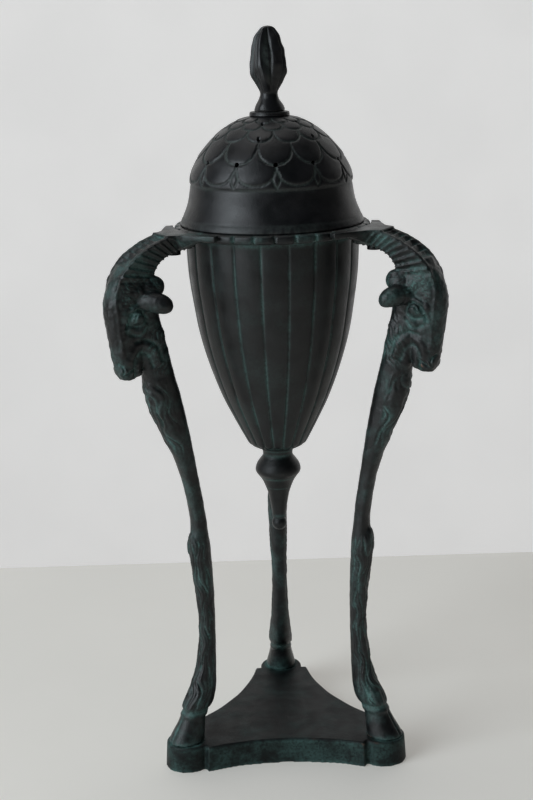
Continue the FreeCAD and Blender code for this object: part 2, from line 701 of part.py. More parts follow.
def add_fasteners(doc, size):
    """Build every screw, stud, washer and nut."""
    gap, thick = size["thread_gap"], size["washer_thick"]
    under_plate = size["plinth_height"] - size["plinth_plate"]
    foot_line, foot_bore = foot_screw_line(size), size["foot_thread"] + gap
    add_group(doc, "foot_washers", lambda name: add_washer(
        doc, name, foot_bore, under_plate - thick, thick, foot_line))
    foot_bite = size["plinth_plate"] + thick + size["foot_screw_bite"]
    add_group(doc, "foot_screws", lambda name: add_screw(
        doc, name, size["foot_thread"], foot_bite, under_plate - thick, size["foot_thread"] * 1.8, foot_line))
    under_tab = tab_top(size) - size["tab_thick"]
    tab_bite = size["tab_thick"] + size["collar_screw_bite"]
    tab_line, tab_head = tab_screw_line(size), size["collar_thread"] * 1.4
    add_group(doc, "collar_screws", lambda name: add_screw(
        doc, name, size["collar_thread"], tab_bite, under_tab, tab_head, tab_line))
    bore, proud = size["stud_round"] + gap, size["washer_thick"]
    floor = flange_top(size) - size["urn_depth"] + size["urn_floor"]
    drop_end = floor - size["urn_floor"] - stud_bite(size) + gap
    add_washer(doc, "drop_washer", bore, floor, thick)
    add_nut(doc, "drop_nut", size["nut_flats"], bore, size["nut_height"], floor + thick)
    stud = cylinder(doc, "drop_stud", size["stud_round"],
                    floor + thick + size["nut_height"] + proud - drop_end, drop_end)
    stud.Label = "drop_stud"
    ceiling = lid_top(size) - size["lid_wall"]
    nut_low = ceiling - thick - size["nut_height"]
    add_washer(doc, "finial_washer", bore, ceiling - thick, thick)
    add_nut(doc, "finial_nut", size["nut_flats"], bore, size["nut_height"], nut_low)
    foot = nut_low - proud
    finial_end = lid_top(size) + size["finial_disc_thick"] + stud_bite(size) * 0.8 - gap
    stud = cylinder(doc, "finial_stud", size["stud_round"], finial_end - foot, foot)
    stud.Label = "finial_stud"


SUB_PARTS = (
    "base_plinth", "leg_front_left", "leg_front_right", "leg_rear", "foot_screws", "foot_washers",
    "collar_ring", "collar_screws", "urn_bowl", "urn_drop", "drop_stud", "drop_washer", "drop_nut",
    "ash_liner", "lid_dome", "finial_collar", "finial_bud", "finial_stud", "finial_washer", "finial_nut",
)


def check_and_export(doc):
    """Stop on any failed object or bad shape, then write one STEP file for each sub-part."""
    for item in doc.Objects:
        if "Invalid" in item.State or "Error" in item.State:
            raise RuntimeError(f"{item.Name} failed: {item.State}")
    os.makedirs("parts", exist_ok=True)
    for label in SUB_PARTS:
        shape = doc.getObjectsByLabel(label)[0].Shape
        if shape.isNull() or not shape.isValid():
            raise RuntimeError(f"{label} has a bad shape")
        solids = len(shape.Solids)
        print(f"{label}: {solids} solid(s), {shape.Volume:.1f} mm3")
        shape.exportStep(f"parts/{label}.step")


def main():
    """Build the incense burner and write its sub-parts."""
    doc = FreeCAD.newDocument("incense_burner")
    size = fill_sheet(doc)
    add_plinth(doc, size)
    add_legs(doc, size)
    add_collar(doc, size)
    add_urn(doc, size)
    add_drop(doc, size)
    add_liner(doc, size)
    add_lid(doc, size)
    add_finial(doc, size)
    add_fasteners(doc, size)
    doc.recompute()
    check_and_export(doc)


main()
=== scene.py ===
"""The visual model of a goat-legged tripod incense burner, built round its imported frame."""

import logging
import math
from dataclasses import dataclass
from enum import Enum
from typing import Callable, Iterable, Sequence

import bmesh
import bpy
import numpy as np
from mathutils import Matrix, Vector


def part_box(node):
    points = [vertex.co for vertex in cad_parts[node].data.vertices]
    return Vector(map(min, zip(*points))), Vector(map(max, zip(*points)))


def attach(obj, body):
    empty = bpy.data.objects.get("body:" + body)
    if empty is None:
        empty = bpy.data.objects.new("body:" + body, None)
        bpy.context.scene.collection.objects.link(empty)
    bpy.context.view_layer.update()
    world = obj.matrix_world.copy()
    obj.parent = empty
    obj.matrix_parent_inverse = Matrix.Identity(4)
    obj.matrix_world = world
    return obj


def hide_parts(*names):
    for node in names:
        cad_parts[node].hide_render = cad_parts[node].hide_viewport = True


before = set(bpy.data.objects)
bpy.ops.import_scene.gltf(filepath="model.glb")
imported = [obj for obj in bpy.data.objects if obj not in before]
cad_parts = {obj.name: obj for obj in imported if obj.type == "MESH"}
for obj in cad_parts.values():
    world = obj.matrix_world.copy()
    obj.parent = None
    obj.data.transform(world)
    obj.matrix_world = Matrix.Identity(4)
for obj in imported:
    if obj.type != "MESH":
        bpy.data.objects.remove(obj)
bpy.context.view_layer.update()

log = logging.getLogger("incense_burner")

MM = 0.001
FULL_TURN = 2.0 * math.pi
LEG_AZIMUTHS = {"front_left": 210.0, "front_right": 330.0, "rear": 90.0}
REST_FRONT = -90.0
STUD_HOLE = 1.85
URN_FOOT = 127.0
HOOF_REACH = 46.8
COLLAR_EDGE = 38.0

Point = Sequence[float]
Relief = Callable[[np.ndarray, np.ndarray], tuple[np.ndarray, np.ndarray]]


class Body(Enum):
    """The bodies that pieces ride on."""

    STAND = "stand"
    URN = "urn"
    LINER = "liner"
    LID = "lid"


class Slot(Enum):
    """The record's material slots, named beside each modelled piece."""

    BRONZE = "patinated_bronze"
    BRASS = "brass_liner"


# --- shapes ---------------------------------------------------------------------------------


def smoothstep(low: float, high: float, value: np.ndarray) -> np.ndarray:
    """Return a soft 0 to 1 ramp between two values."""
    ramp = np.clip((value - low) / (high - low), 0.0, 1.0)
    return ramp * ramp * (3.0 - 2.0 * ramp)


def bell(value: np.ndarray, width: float) -> np.ndarray:
    """Return a bell curve that is 1 at 0 and falls off over a width."""
    return np.exp(-((value / width) ** 2))


def through(points: Sequence[Point], step: float) -> list[Vector]:
    """Return a smooth line through points.

    Args:
        points: Two or three coordinates each, in millimetres.
        step: The spacing wanted along the line.

    Returns:
        Points about one step apart, the first and last as given.
    """
    given = np.array([tuple(point) + (0.0,) * (3 - len(point)) for point in points], dtype=float)
    padded = np.vstack([2 * given[0] - given[1], given, 2 * given[-1] - given[-2]])
    line: list[Vector] = []
    for index in range(1, len(padded) - 2):
        before, start, end, after = padded[index - 1 : index + 3]
        count = max(1, round(float(np.linalg.norm(end - start)) / step))
        for part in range(count):
            share = part / count
            value = 0.5 * (
                2 * start
                + (end - before) * share
                + (2 * before - 5 * start + 4 * end - after) * share**2
                + (3 * start - before - 3 * end + after) * share**3
            )
            line.append(Vector(value))
    line.append(Vector(given[-1]))
    return line


def sections_between(keys: Sequence[Point], step: float) -> list[Vector]:
    """Return finer sections: each key is (height, reach, deep, wide), smoothed along height."""
    table = np.array(keys, dtype=float)
    heights = np.arange(table[0, 0], table[-1, 0] + step / 2, step)
    columns = [heights]
    for column in range(1, table.shape[1]):
        values = np.interp(heights, table[:, 0], table[:, column])
        for _ in range(3):
            values[1:-1] = (values[:-2] + 2 * values[1:-1] + values[2:]) / 4
        columns.append(values)
    return [row for row in np.stack(columns, axis=1)]


def new_piece(name: str, shape: bmesh.types.BMesh, scale: float = MM) -> bpy.types.Object:
    """Turn a bmesh in millimetres into an object in metres, its faces outward and smooth."""
    bmesh.ops.remove_doubles(shape, verts=shape.verts, dist=1e-4)
    bmesh.ops.recalc_face_normals(shape, faces=shape.faces)
    bmesh.ops.scale(shape, vec=(scale,) * 3, verts=shape.verts)
    mesh = bpy.data.meshes.new(name)
    shape.to_mesh(mesh)
    shape.free()
    mesh.shade_smooth()
    piece = bpy.data.objects.new(name, mesh)
    bpy.context.scene.collection.objects.link(piece)
    return piece


def loft(shape: bmesh.types.BMesh, rings: Sequence[Sequence[Vector]]) -> None:
    """Grow a closed skin through rings of equal count, each extruded from the last."""
    first = bmesh.ops.create_circle(shape, cap_ends=True, segments=len(rings[0]), radius=1.0)["verts"]
    for vert, place in zip(first, rings[0]):
        vert.co = place
    order = {vert: index for index, vert in enumerate(first)}
    edge_ring = [edge for edge in shape.edges if all(vert in order for vert in edge.verts)]
    for ring in rings[1:]:
        grown = bmesh.ops.extrude_edge_only(shape, edges=edge_ring)["geom"]
        fresh = {item for item in grown if isinstance(item, bmesh.types.BMVert)}
        following = {}
        for old, index in order.items():
            new = next(edge.other_vert(old) for edge in old.link_edges if edge.other_vert(old) in fresh)
            following[new] = index
            new.co = ring[index]
        edge_ring = [item for item in grown if isinstance(item, bmesh.types.BMEdge)
                     and all(vert in following for vert in item.verts)]
        order = following
    bmesh.ops.holes_fill(shape, edges=edge_ring, sides=len(rings[0]))


def oval(centre: Vector, first: Vector, second: Vector, count: int = 24, square: float = 2.0) -> list[Vector]:
    """Return a ring round a centre; a square power over 2 fills its corners out."""
    ring = []
    for index in range(count):
        turn = FULL_TURN * index / count
        across, up = math.cos(turn), math.sin(turn)
        swell = (abs(across) ** square + abs(up) ** square) ** (-1.0 / square)
        ring.append(centre + first * across * swell + second * up * swell)
    return ring


def ball(shape: bmesh.types.BMesh, centre: Point, size: Point, tilt: float = 0.0) -> None:
    """Add an ellipsoid: its three half sizes, tilted about the cross axis in degrees."""
    place = Matrix.Translation(Vector(centre)) @ Matrix.Rotation(math.radians(tilt), 4, "X")
    stretch = Matrix.Diagonal(Vector((*size, 1.0)))
    bmesh.ops.create_uvsphere(shape, u_segments=24, v_segments=16, radius=1.0, matrix=place @ stretch)


def turned(outline: Sequence[Vector], steps: int, closed: bool = False) -> bmesh.types.BMesh:
    """Spin an outline of (radius, height) about +Z.

    Args:
        outline: The half section, in millimetres.
        steps: How many facets go round.
        closed: Whether the last point joins the first, as round a wall.
    """
    shape = bmesh.new()
    verts = [shape.verts.new((point[0], 0.0, point[1])) for point in outline]
    ends = verts[1:] + (verts[:1] if closed else [])
    edges = [shape.edges.new(pair) for pair in zip(verts, ends)]
    bmesh.ops.spin(shape, geom=[*verts, *edges], cent=(0, 0, 0), axis=(0, 0, 1), dvec=(0, 0, 0),
                   angle=FULL_TURN, steps=steps, use_merge=True, use_duplicate=False)
    bmesh.ops.remove_doubles(shape, verts=shape.verts, dist=1e-4)
    return shape


def corners(mesh: bpy.types.Mesh) -> tuple[np.ndarray, np.ndarray]:
    """Return a mesh's vertices in millimetres and their normals."""
    places = np.empty(len(mesh.vertices) * 3)
    normals = np.empty(len(mesh.vertices) * 3)
    mesh.vertices.foreach_get("co", places)
    mesh.vertex_normals.foreach_get("vector", normals)
    return places.reshape(-1, 3) / MM, normals.reshape(-1, 3)


def place_corners(mesh: bpy.types.Mesh, places: np.ndarray) -> None:
    """Move a mesh's vertices to places in millimetres."""
    mesh.vertices.foreach_set("co", (places * MM).ravel())
    mesh.update()


def trim(mesh: bpy.types.Mesh, low: float, high: float) -> np.ndarray:
    """Flatten whatever passes two heights in millimetres, and return the places."""
    places, _ = corners(mesh)
    places[:, 2] = np.clip(places[:, 2], low, high)
    place_corners(mesh, places)
    return places


def round_the_axis(places: np.ndarray) -> tuple[np.ndarray, np.ndarray]:
    """Return each place's distance from the urn's axis and its turn from the front in degrees."""
    turn = np.degrees(np.arctan2(places[:, 1], places[:, 0])) - REST_FRONT
    return np.hypot(places[:, 0], places[:, 1]), turn


def facing_out(places: np.ndarray, normals: np.ndarray, round_: np.ndarray) -> np.ndarray:
    """Return how far each normal points away from the urn's axis."""
    return (normals[:, 0] * places[:, 0] + normals[:, 1] * places[:, 1]) / np.maximum(round_, 1e-3)


def mark(mesh: bpy.types.Mesh, name: str, values: np.ndarray) -> None:
    """Store one number for each vertex, for the finishes to read."""
    layer = mesh.attributes.get(name) or mesh.attributes.new(name, "FLOAT", "POINT")
    layer.data.foreach_set("value", np.clip(values, 0.0, 1.0).astype(np.float32))


def mark_relief(mesh: bpy.types.Mesh, hollow: np.ndarray | None = None, reach: int = 3,
                gain: float = 5.0) -> None:
    """Store where a mesh is hollow and where it stands proud.

    Args:
        mesh: The finished mesh.
        hollow: Hollows that the carving already knows, added to what the shape gives.
        reach: How many rings of neighbours are looked at.
        gain: How quickly a bend counts as a full hollow or edge.
    """
    places, normals = corners(mesh)
    pairs = np.empty(len(mesh.edges) * 2, dtype=np.int64)
    mesh.edges.foreach_get("vertices", pairs)
    pairs = pairs.reshape(-1, 2)
    count = np.maximum(np.bincount(pairs.ravel(), minlength=len(places)), 1)[:, None]

    def spread(values: np.ndarray) -> np.ndarray:
        """Return each vertex's mean over its neighbours."""
        total = np.zeros_like(values)
        for column in range(values.shape[1]):
            total[:, column] = (
                np.bincount(pairs[:, 0], values[pairs[:, 1], column], len(values))
                + np.bincount(pairs[:, 1], values[pairs[:, 0], column], len(values))
            )
        return total / count

    smooth = places
    for _ in range(reach):
        smooth = spread(smooth)
    bend = np.einsum("ij,ij->i", smooth - places, normals)[:, None]
    bend = spread(spread(bend))[:, 0]
    known = np.zeros(len(places)) if hollow is None else hollow
    mark(mesh, "hollow", np.maximum(known, bend * gain))
    mark(mesh, "edge", -bend * gain)


def carve(mesh: bpy.types.Mesh, relief: Relief) -> np.ndarray:
    """Raise and sink a mesh along its normals.

    Args:
        mesh: The mesh to carve.
        relief: Gives each vertex's height in millimetres and its hollow from places and normals.

    Returns:
        The hollows.
    """
    places, normals = corners(mesh)
    height, hollow = relief(places, normals)
    place_corners(mesh, places + normals * height[:, None])
    return hollow


def remeshed(piece: bpy.types.Object, voxel: float, smoothing: int) -> None:
    """Fuse a piece's overlapping solids into one even skin and soften it."""
    melt = piece.modifiers.new("melt", "REMESH")
    melt.mode = "VOXEL"
    melt.voxel_size = voxel * MM
    soften = piece.modifiers.new("soften", "SMOOTH")
    soften.factor = 0.5
    soften.iterations = smoothing
    fix_modifiers(piece)


def fix_modifiers(piece: bpy.types.Object) -> None:
    """Apply a piece's modifiers to its mesh."""
    graph = bpy.context.evaluated_depsgraph_get()
    graph.update()
    mesh = bpy.data.meshes.new_from_object(piece.evaluated_get(graph))
    old = piece.data
    piece.modifiers.clear()
    piece.data = mesh
    mesh.name = old.name
    bpy.data.meshes.remove(old)
    mesh.shade_smooth()


def noise_of(*seeds: np.ndarray) -> np.ndarray:
    """Return a fixed number from 0 to 1 for whole-number seeds."""
    mixed = sum(seed * factor for seed, factor in zip(seeds, (12.9898, 78.233, 37.719)))
    return np.abs(np.sin(mixed) * 43758.5453) % 1.0


def lumps(places: np.ndarray, pitch: float) -> np.ndarray:
    """Return soft irregular swellings between -1 and 1, about a pitch apart in millimetres."""
    x, y, z = (places * (FULL_TURN / pitch)).T
    first = np.sin(x + 1.7 * np.sin(0.61 * y + 0.3 * z)) * np.sin(0.83 * y + 1.3 * np.sin(0.7 * z))
    second = np.sin(0.9 * z + 1.1 * np.sin(0.8 * x) + 1.0) * np.sin(0.57 * x - 0.45 * y + 0.8 * np.sin(z))
    return 0.6 * (first + second)


def locks(across: np.ndarray, along: np.ndarray, width: float,
          length: float) -> tuple[np.ndarray, np.ndarray]:
    """Return staggered pointed locks of hair whose tips point down the flow.

    Args:
        across: Distance across the flow, in millimetres.
        along: Distance up the flow.
        width: Width of a lock.
        length: Distance from one row of tips to the next.

    Returns:
        The height, from 0 to 1, and the hollow between the locks.
    """
    height = np.zeros_like(across)
    gap = np.zeros_like(across)
    free = np.ones(len(across), dtype=bool)
    for under in (0, 1, 2):
        row = np.floor(along / length) - under + 1
        stagger = 0.5 * (row % 2)
        column = np.round(across / width - stagger)
        shift = (noise_of(row, column) - 0.5) * 0.45
        tip = (row + 0.55 * (noise_of(column, row) - 0.5)) * length
        side = (across / width - stagger - column + shift * 0.5) * 2.0
        root = (along - tip) / length
        wide = np.clip(root * 1.3, 0.0, 1.0) ** 0.65
        inside = wide - np.abs(side)
        chosen = free & (inside > 0) & (root > 0)
        rounded = np.sqrt(np.clip(inside, 0.0, 1.0))
        height = np.where(chosen, 0.45 + 0.55 * rounded - 0.28 * root, height)
        gap = np.where(chosen, bell(inside, 0.22), gap)
        free &= ~chosen
    return height, np.where(free, 1.0, gap)


# --- finishes -------------------------------------------------------------------------------


class Graph:
    """A node tree with short ways to add and join nodes."""

    def __init__(self, tree: bpy.types.NodeTree) -> None:
        """Keep the tree that nodes are added to."""
        self.tree = tree

    def add(self, kind: str, **settings: object) -> bpy.types.Node:
        """Add a node and set its properties."""
        node = self.tree.nodes.new(kind)
        for name, value in settings.items():
            setattr(node, name, value)
        return node

    def join(self, source: bpy.types.NodeSocket, target: bpy.types.NodeSocket) -> None:
        """Link two sockets."""
        self.tree.links.new(source, target)

    def feed(self, socket: bpy.types.NodeSocket, value: object) -> None:
        """Link a socket into an input, or set the input to a plain value."""
        if isinstance(value, bpy.types.NodeSocket):
            self.join(value, socket)
        else:
            socket.default_value = value

    def sum(self, operation: str, *values: object, clamp: bool = False) -> bpy.types.NodeSocket:
        """Add a Math node and return its result."""
        node = self.add("ShaderNodeMath", operation=operation, use_clamp=clamp)
        for socket, value in zip(node.inputs, values):
            self.feed(socket, value)
        return node.outputs[0]

    def ramp(self, value: object, low: float, high: float) -> bpy.types.NodeSocket:
        """Return a value eased from 0 to 1 between two limits."""
        node = self.add("ShaderNodeMapRange", interpolation_type="SMOOTHSTEP", clamp=True)
        self.feed(node.inputs["Value"], value)
        node.inputs["From Min"].default_value = low
        node.inputs["From Max"].default_value = high
        return node.outputs["Result"]

    def blend(self, share: object, first: object, second: object) -> bpy.types.NodeSocket:
        """Return a colour between two colours."""
        node = self.add("ShaderNodeMix", data_type="RGBA", clamp_factor=True)
        self.feed(node.inputs[0], share)
        self.feed(node.inputs[6], first)
        self.feed(node.inputs[7], second)
        return node.outputs[2]

    def noise(self, place: object, scale: float, detail: float = 3.0,
              rough: float = 0.55) -> bpy.types.NodeSocket:
        """Return a noise value whose scale is in features per metre."""
        node = self.add("ShaderNodeTexNoise")
        node.inputs["Scale"].default_value = scale
        node.inputs["Detail"].default_value = detail
        node.inputs["Roughness"].default_value = rough
        self.feed(node.inputs["Vector"], place)
        return node.outputs["Fac"]


def new_group(name: str, inputs: Iterable[tuple[str, str, float]], outputs: Iterable[str]) -> tuple[
        bpy.types.NodeTree, Graph, bpy.types.Node, bpy.types.Node]:
    """Start a shader node group and return it with its graph and its two end nodes."""
    tree = bpy.data.node_groups.new(name, "ShaderNodeTree")
    for label, kind, value in inputs:
        socket = tree.interface.new_socket(label, in_out="INPUT", socket_type=kind)
        if kind == "NodeSocketFloat":
            socket.default_value = value
    for label in outputs:
        tree.interface.new_socket(label, in_out="OUTPUT", socket_type="NodeSocketFloat")
    graph = Graph(tree)
    return tree, graph, graph.add("NodeGroupInput"), graph.add("NodeGroupOutput")


def verdigris_group() -> bpy.types.NodeTree:
    """Build the growth of verdigris: thick in hollows, thin and blotchy on open faces."""
    tree, graph, given, made = new_group(
        "verdigris",
        (("Place", "NodeSocketVector", 0.0), ("Hollow", "NodeSocketFloat", 0.0),
         ("Bloom", "NodeSocketFloat", 0.3), ("Depth", "NodeSocketFloat", 1.0)),
        ("Mask", "Crust"))
    patchy = graph.noise(given.outputs["Place"], 95.0, 5.0, 0.62)
    speckle = graph.noise(given.outputs["Place"], 900.0, 4.0, 0.7)
    held = graph.sum("MULTIPLY", given.outputs["Hollow"], graph.ramp(patchy, 0.28, 0.62))
    held = graph.sum("MULTIPLY", held, given.outputs["Depth"])
    open_face = graph.sum("MULTIPLY", graph.ramp(patchy, 0.42, 0.78), given.outputs["Bloom"])
    whole = graph.sum("ADD", held, open_face)
    broken = graph.sum("MULTIPLY", whole, graph.ramp(speckle, 0.2, 0.62), clamp=True)
    graph.join(broken, made.inputs["Mask"])
    graph.join(graph.sum("MULTIPLY", broken, speckle), made.inputs["Crust"])
    return tree


def casting_group() -> bpy.types.NodeTree:
    """Build the skin of sand-cast metal: fine grain, faint waviness and a few pits."""
    tree, graph, given, made = new_group(
        "casting_skin",
        (("Place", "NodeSocketVector", 0.0), ("Grain", "NodeSocketFloat", 1.0)),
        ("Height", "Tone"))
    grain = graph.noise(given.outputs["Place"], 2600.0, 3.0, 0.6)
    wave = graph.noise(given.outputs["Place"], 160.0, 3.0, 0.5)
    pits = graph.add("ShaderNodeTexVoronoi", feature="F1")
    pits.inputs["Scale"].default_value = 420.0
    graph.feed(pits.inputs["Vector"], given.outputs["Place"])
    pit = graph.ramp(pits.outputs["Distance"], 0.04, 0.16)
    fine = graph.sum("MULTIPLY", grain, given.outputs["Grain"])
    height = graph.sum("ADD", fine, graph.sum("MULTIPLY", wave, 1.3))
    graph.join(graph.sum("ADD", height, graph.sum("MULTIPLY", pit, 0.35)), made.inputs["Height"])
    graph.join(wave, made.inputs["Tone"])
    return tree


def rubbed_group() -> bpy.types.NodeTree:
    """Build the wear of handling: bare metal on proud edges, broken up by noise."""
    tree, graph, given, made = new_group(
        "rubbed_edges",
        (("Place", "NodeSocketVector", 0.0), ("Edge", "NodeSocketFloat", 0.0),
         ("Amount", "NodeSocketFloat", 0.5)),
        ("Mask", "Bright"))
    broken = graph.noise(given.outputs["Place"], 240.0, 4.0, 0.65)
    worn = graph.sum("MULTIPLY", graph.ramp(given.outputs["Edge"], 0.3, 0.95), given.outputs["Amount"])
    mask = graph.sum("MULTIPLY", worn, graph.ramp(broken, 0.38, 0.62), clamp=True)
    graph.join(mask, made.inputs["Mask"])
    rare = graph.ramp(graph.noise(given.outputs["Place"], 38.0, 2.0), 0.6, 0.7)
    graph.join(graph.sum("MULTIPLY", mask, rare), made.inputs["Bright"])
    return tree


@dataclass(frozen=True)
class BronzeFinish:
    """Black-patinated bronze with verdigris in its hollows.

    Attributes:
        name: The material's name.
        dark: Colour of the patina.
        sheen: Colour of the patina where it lies thin.
        green: Colour of the verdigris.
        bloom: How much verdigris lies on open faces.
        depth: How much verdigris the hollows hold.
        wear: How much metal shows on proud edges.
        gloss: Roughness of the waxed patina.
        grain: Strength of the casting's grain.
        mirror: Index of refraction of the wax, which sets how much it reflects.
    """

    name: str
    dark: tuple[float, float, float] = (0.0035, 0.004, 0.0043)
    sheen: tuple[float, float, float] = (0.0085, 0.0092, 0.0095)
    green: tuple[float, float, float] = (0.07, 0.142, 0.13)
    bloom: float = 0.25
    depth: float = 1.0
    wear: float = 0.5
    gloss: float = 0.43
    grain: float = 1.0
    mirror: float = 1.4

    def material(self, groups: dict[str, bpy.types.NodeTree]) -> bpy.types.Material:
        """Build the finish from the shared groups."""
        material = bpy.data.materials.new(self.name)
        material.use_nodes = True
        graph = Graph(material.node_tree)
        shader = material.node_tree.nodes["Principled BSDF"]
        place = graph.add("ShaderNodeTexCoord").outputs["Object"]
        hollow = graph.add("ShaderNodeAttribute", attribute_name="hollow").outputs["Fac"]
        edge = graph.add("ShaderNodeAttribute", attribute_name="edge").outputs["Fac"]

        growth = graph.add("ShaderNodeGroup", node_tree=groups["verdigris"])
        graph.feed(growth.inputs["Place"], place)
        graph.feed(growth.inputs["Hollow"], hollow)
        growth.inputs["Bloom"].default_value = self.bloom
        growth.inputs["Depth"].default_value = self.depth
        skin = graph.add("ShaderNodeGroup", node_tree=groups["casting"])
        graph.feed(skin.inputs["Place"], place)
        skin.inputs["Grain"].default_value = self.grain
        rub = graph.add("ShaderNodeGroup", node_tree=groups["rubbed"])
        graph.feed(rub.inputs["Place"], place)
        graph.feed(rub.inputs["Edge"], edge)
        rub.inputs["Amount"].default_value = self.wear

        tone = graph.ramp(skin.outputs["Tone"], 0.32, 0.7)
        colour = graph.blend(tone, (*self.dark, 1.0), (*self.sheen, 1.0))
        colour = graph.blend(rub.outputs["Mask"], colour, (0.05, 0.046, 0.043, 1.0))
        colour = graph.blend(rub.outputs["Bright"], colour, (0.33, 0.15, 0.09, 1.0))
        colour = graph.blend(growth.outputs["Mask"], colour, (*self.green, 1.0))
        graph.join(colour, shader.inputs["Base Color"])

        dull = graph.sum("MULTIPLY", growth.outputs["Mask"], 0.4)
        smooth = graph.sum("MULTIPLY", rub.outputs["Mask"], -0.1)
        mottled = graph.sum("MULTIPLY", graph.sum("SUBTRACT", tone, 0.5), 0.12)
        rough = graph.sum("ADD", graph.sum("ADD", dull, smooth), mottled)
        graph.join(graph.sum("ADD", rough, self.gloss, clamp=True), shader.inputs["Roughness"])
        metal = graph.sum("MULTIPLY", rub.outputs["Bright"], 0.9)
        graph.join(metal, shader.inputs["Metallic"])
        shader.inputs["IOR"].default_value = self.mirror

        relief = graph.sum("ADD", skin.outputs["Height"], graph.sum("MULTIPLY", growth.outputs["Crust"], 1.4))
        bump = graph.add("ShaderNodeBump")
        bump.inputs["Strength"].default_value = 0.35
        bump.inputs["Distance"].default_value = 0.00025
        graph.join(relief, bump.inputs["Height"])
        graph.join(bump.outputs["Normal"], shader.inputs["Normal"])
        return material


@dataclass(frozen=True)
class MetalFinish:
    """Bare metal dulled by heat or handling."""

    name: str
    bright: tuple[float, float, float]
    dull: tuple[float, float, float]
    gloss: float = 0.35

    def material(self, groups: dict[str, bpy.types.NodeTree]) -> bpy.types.Material:
        """Build the finish from the shared groups."""
        material = bpy.data.materials.new(self.name)
        material.use_nodes = True
        graph = Graph(material.node_tree)
        shader = material.node_tree.nodes["Principled BSDF"]
        place = graph.add("ShaderNodeTexCoord").outputs["Object"]
        skin = graph.add("ShaderNodeGroup", node_tree=groups["casting"])
        graph.feed(skin.inputs["Place"], place)
        skin.inputs["Grain"].default_value = 0.5
        stain = graph.ramp(graph.noise(place, 130.0, 4.0), 0.35, 0.65)
        graph.join(graph.blend(stain, (*self.bright, 1.0), (*self.dull, 1.0)), shader.inputs["Base Color"])
        shader.inputs["Metallic"].default_value = 0.9
        rough = graph.sum("ADD", graph.sum("MULTIPLY", stain, 0.25), self.gloss)
        graph.join(rough, shader.inputs["Roughness"])
        bump = graph.add("ShaderNodeBump")
        bump.inputs["Strength"].default_value = 0.2
        bump.inputs["Distance"].default_value = 0.0002
        graph.join(skin.outputs["Height"], bump.inputs["Height"])
        graph.join(bump.outputs["Normal"], shader.inputs["Normal"])
        return material


@dataclass(frozen=True)
class StageFinish:
    """The matt pale surface of the table and the wall behind it, lifted by the light of the room."""

    name: str
    colour: tuple[float, float, float]
    glow: float

    def material(self) -> bpy.types.Material:
        """Build the finish with the faintest unevenness."""
        material = bpy.data.materials.new(self.name)
        material.use_nodes = True
        graph = Graph(material.node_tree)
        shader = material.node_tree.nodes["Principled BSDF"]
        place = graph.add("ShaderNodeTexCoord").outputs["Object"]
        uneven = graph.ramp(graph.noise(place, 6.0, 4.0), 0.3, 0.7)
        darker = tuple(part * 0.97 for part in self.colour)
        tint = graph.blend(uneven, (*self.colour, 1.0), (*darker, 1.0))
        graph.join(tint, shader.inputs["Base Color"])
        graph.join(tint, shader.inputs["Emission Color"])
        shader.inputs["Emission Strength"].default_value = self.glow
        shader.inputs["Roughness"].default_value = 0.8
        return material


class Finishes:
    """Every material of the object, built once."""

    def __init__(self) -> None:
        """Build the shared groups and the materials."""
        groups = {"verdigris": verdigris_group(), "casting": casting_group(), "rubbed": rubbed_group()}
        self.urn = BronzeFinish("urn_bronze", bloom=0.1, depth=0.6, wear=0.25, gloss=0.38).material(groups)
        self.lid = BronzeFinish("lid_bronze", dark=(0.0032, 0.0035, 0.0042), sheen=(0.008, 0.008, 0.0092),
                                bloom=0.04, depth=0.62, wear=0.35, gloss=0.34,
                                green=(0.055, 0.075, 0.068)).material(groups)
        self.leg = BronzeFinish("leg_bronze", bloom=0.5, depth=1.0, wear=0.8, gloss=0.36,
                                grain=1.3).material(groups)
        self.base = BronzeFinish("base_bronze", bloom=0.18, depth=1.0, wear=0.5, gloss=0.46, grain=1.3,
                                 sheen=(0.006, 0.0064, 0.0066), mirror=1.24).material(groups)
        self.brass = MetalFinish(
            "heat_stained_brass", (0.42, 0.31, 0.14), (0.16, 0.11, 0.06)).material(groups)
        self.steel = MetalFinish(
            "zinc_plated_steel", (0.42, 0.42, 0.43), (0.24, 0.24, 0.245)).material(groups)
        self.black_steel = MetalFinish(
            "blackened_steel", (0.02, 0.02, 0.021), (0.01, 0.01, 0.0105)).material(groups)


def node_box(name: str) -> tuple[Vector, Vector]:
    """Return a CAD node's lowest and highest corners in millimetres."""
    low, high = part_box(name)
    return low / MM, high / MM


def dress(piece: bpy.types.Object, material: bpy.types.Material, body: Body, slot: Slot, *nodes: str) -> None:
    """Give a piece its finish and its body, and hide the CAD nodes it stands for."""
    piece.data.materials.clear()
    piece.data.materials.append(material)
    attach(piece, body.value)
    if nodes:
        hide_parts(*nodes)
    log.info("%s: %d faces on %s", piece.name, len(piece.data.polygons), body.value)


# --- the legs -------------------------------------------------------------------------------


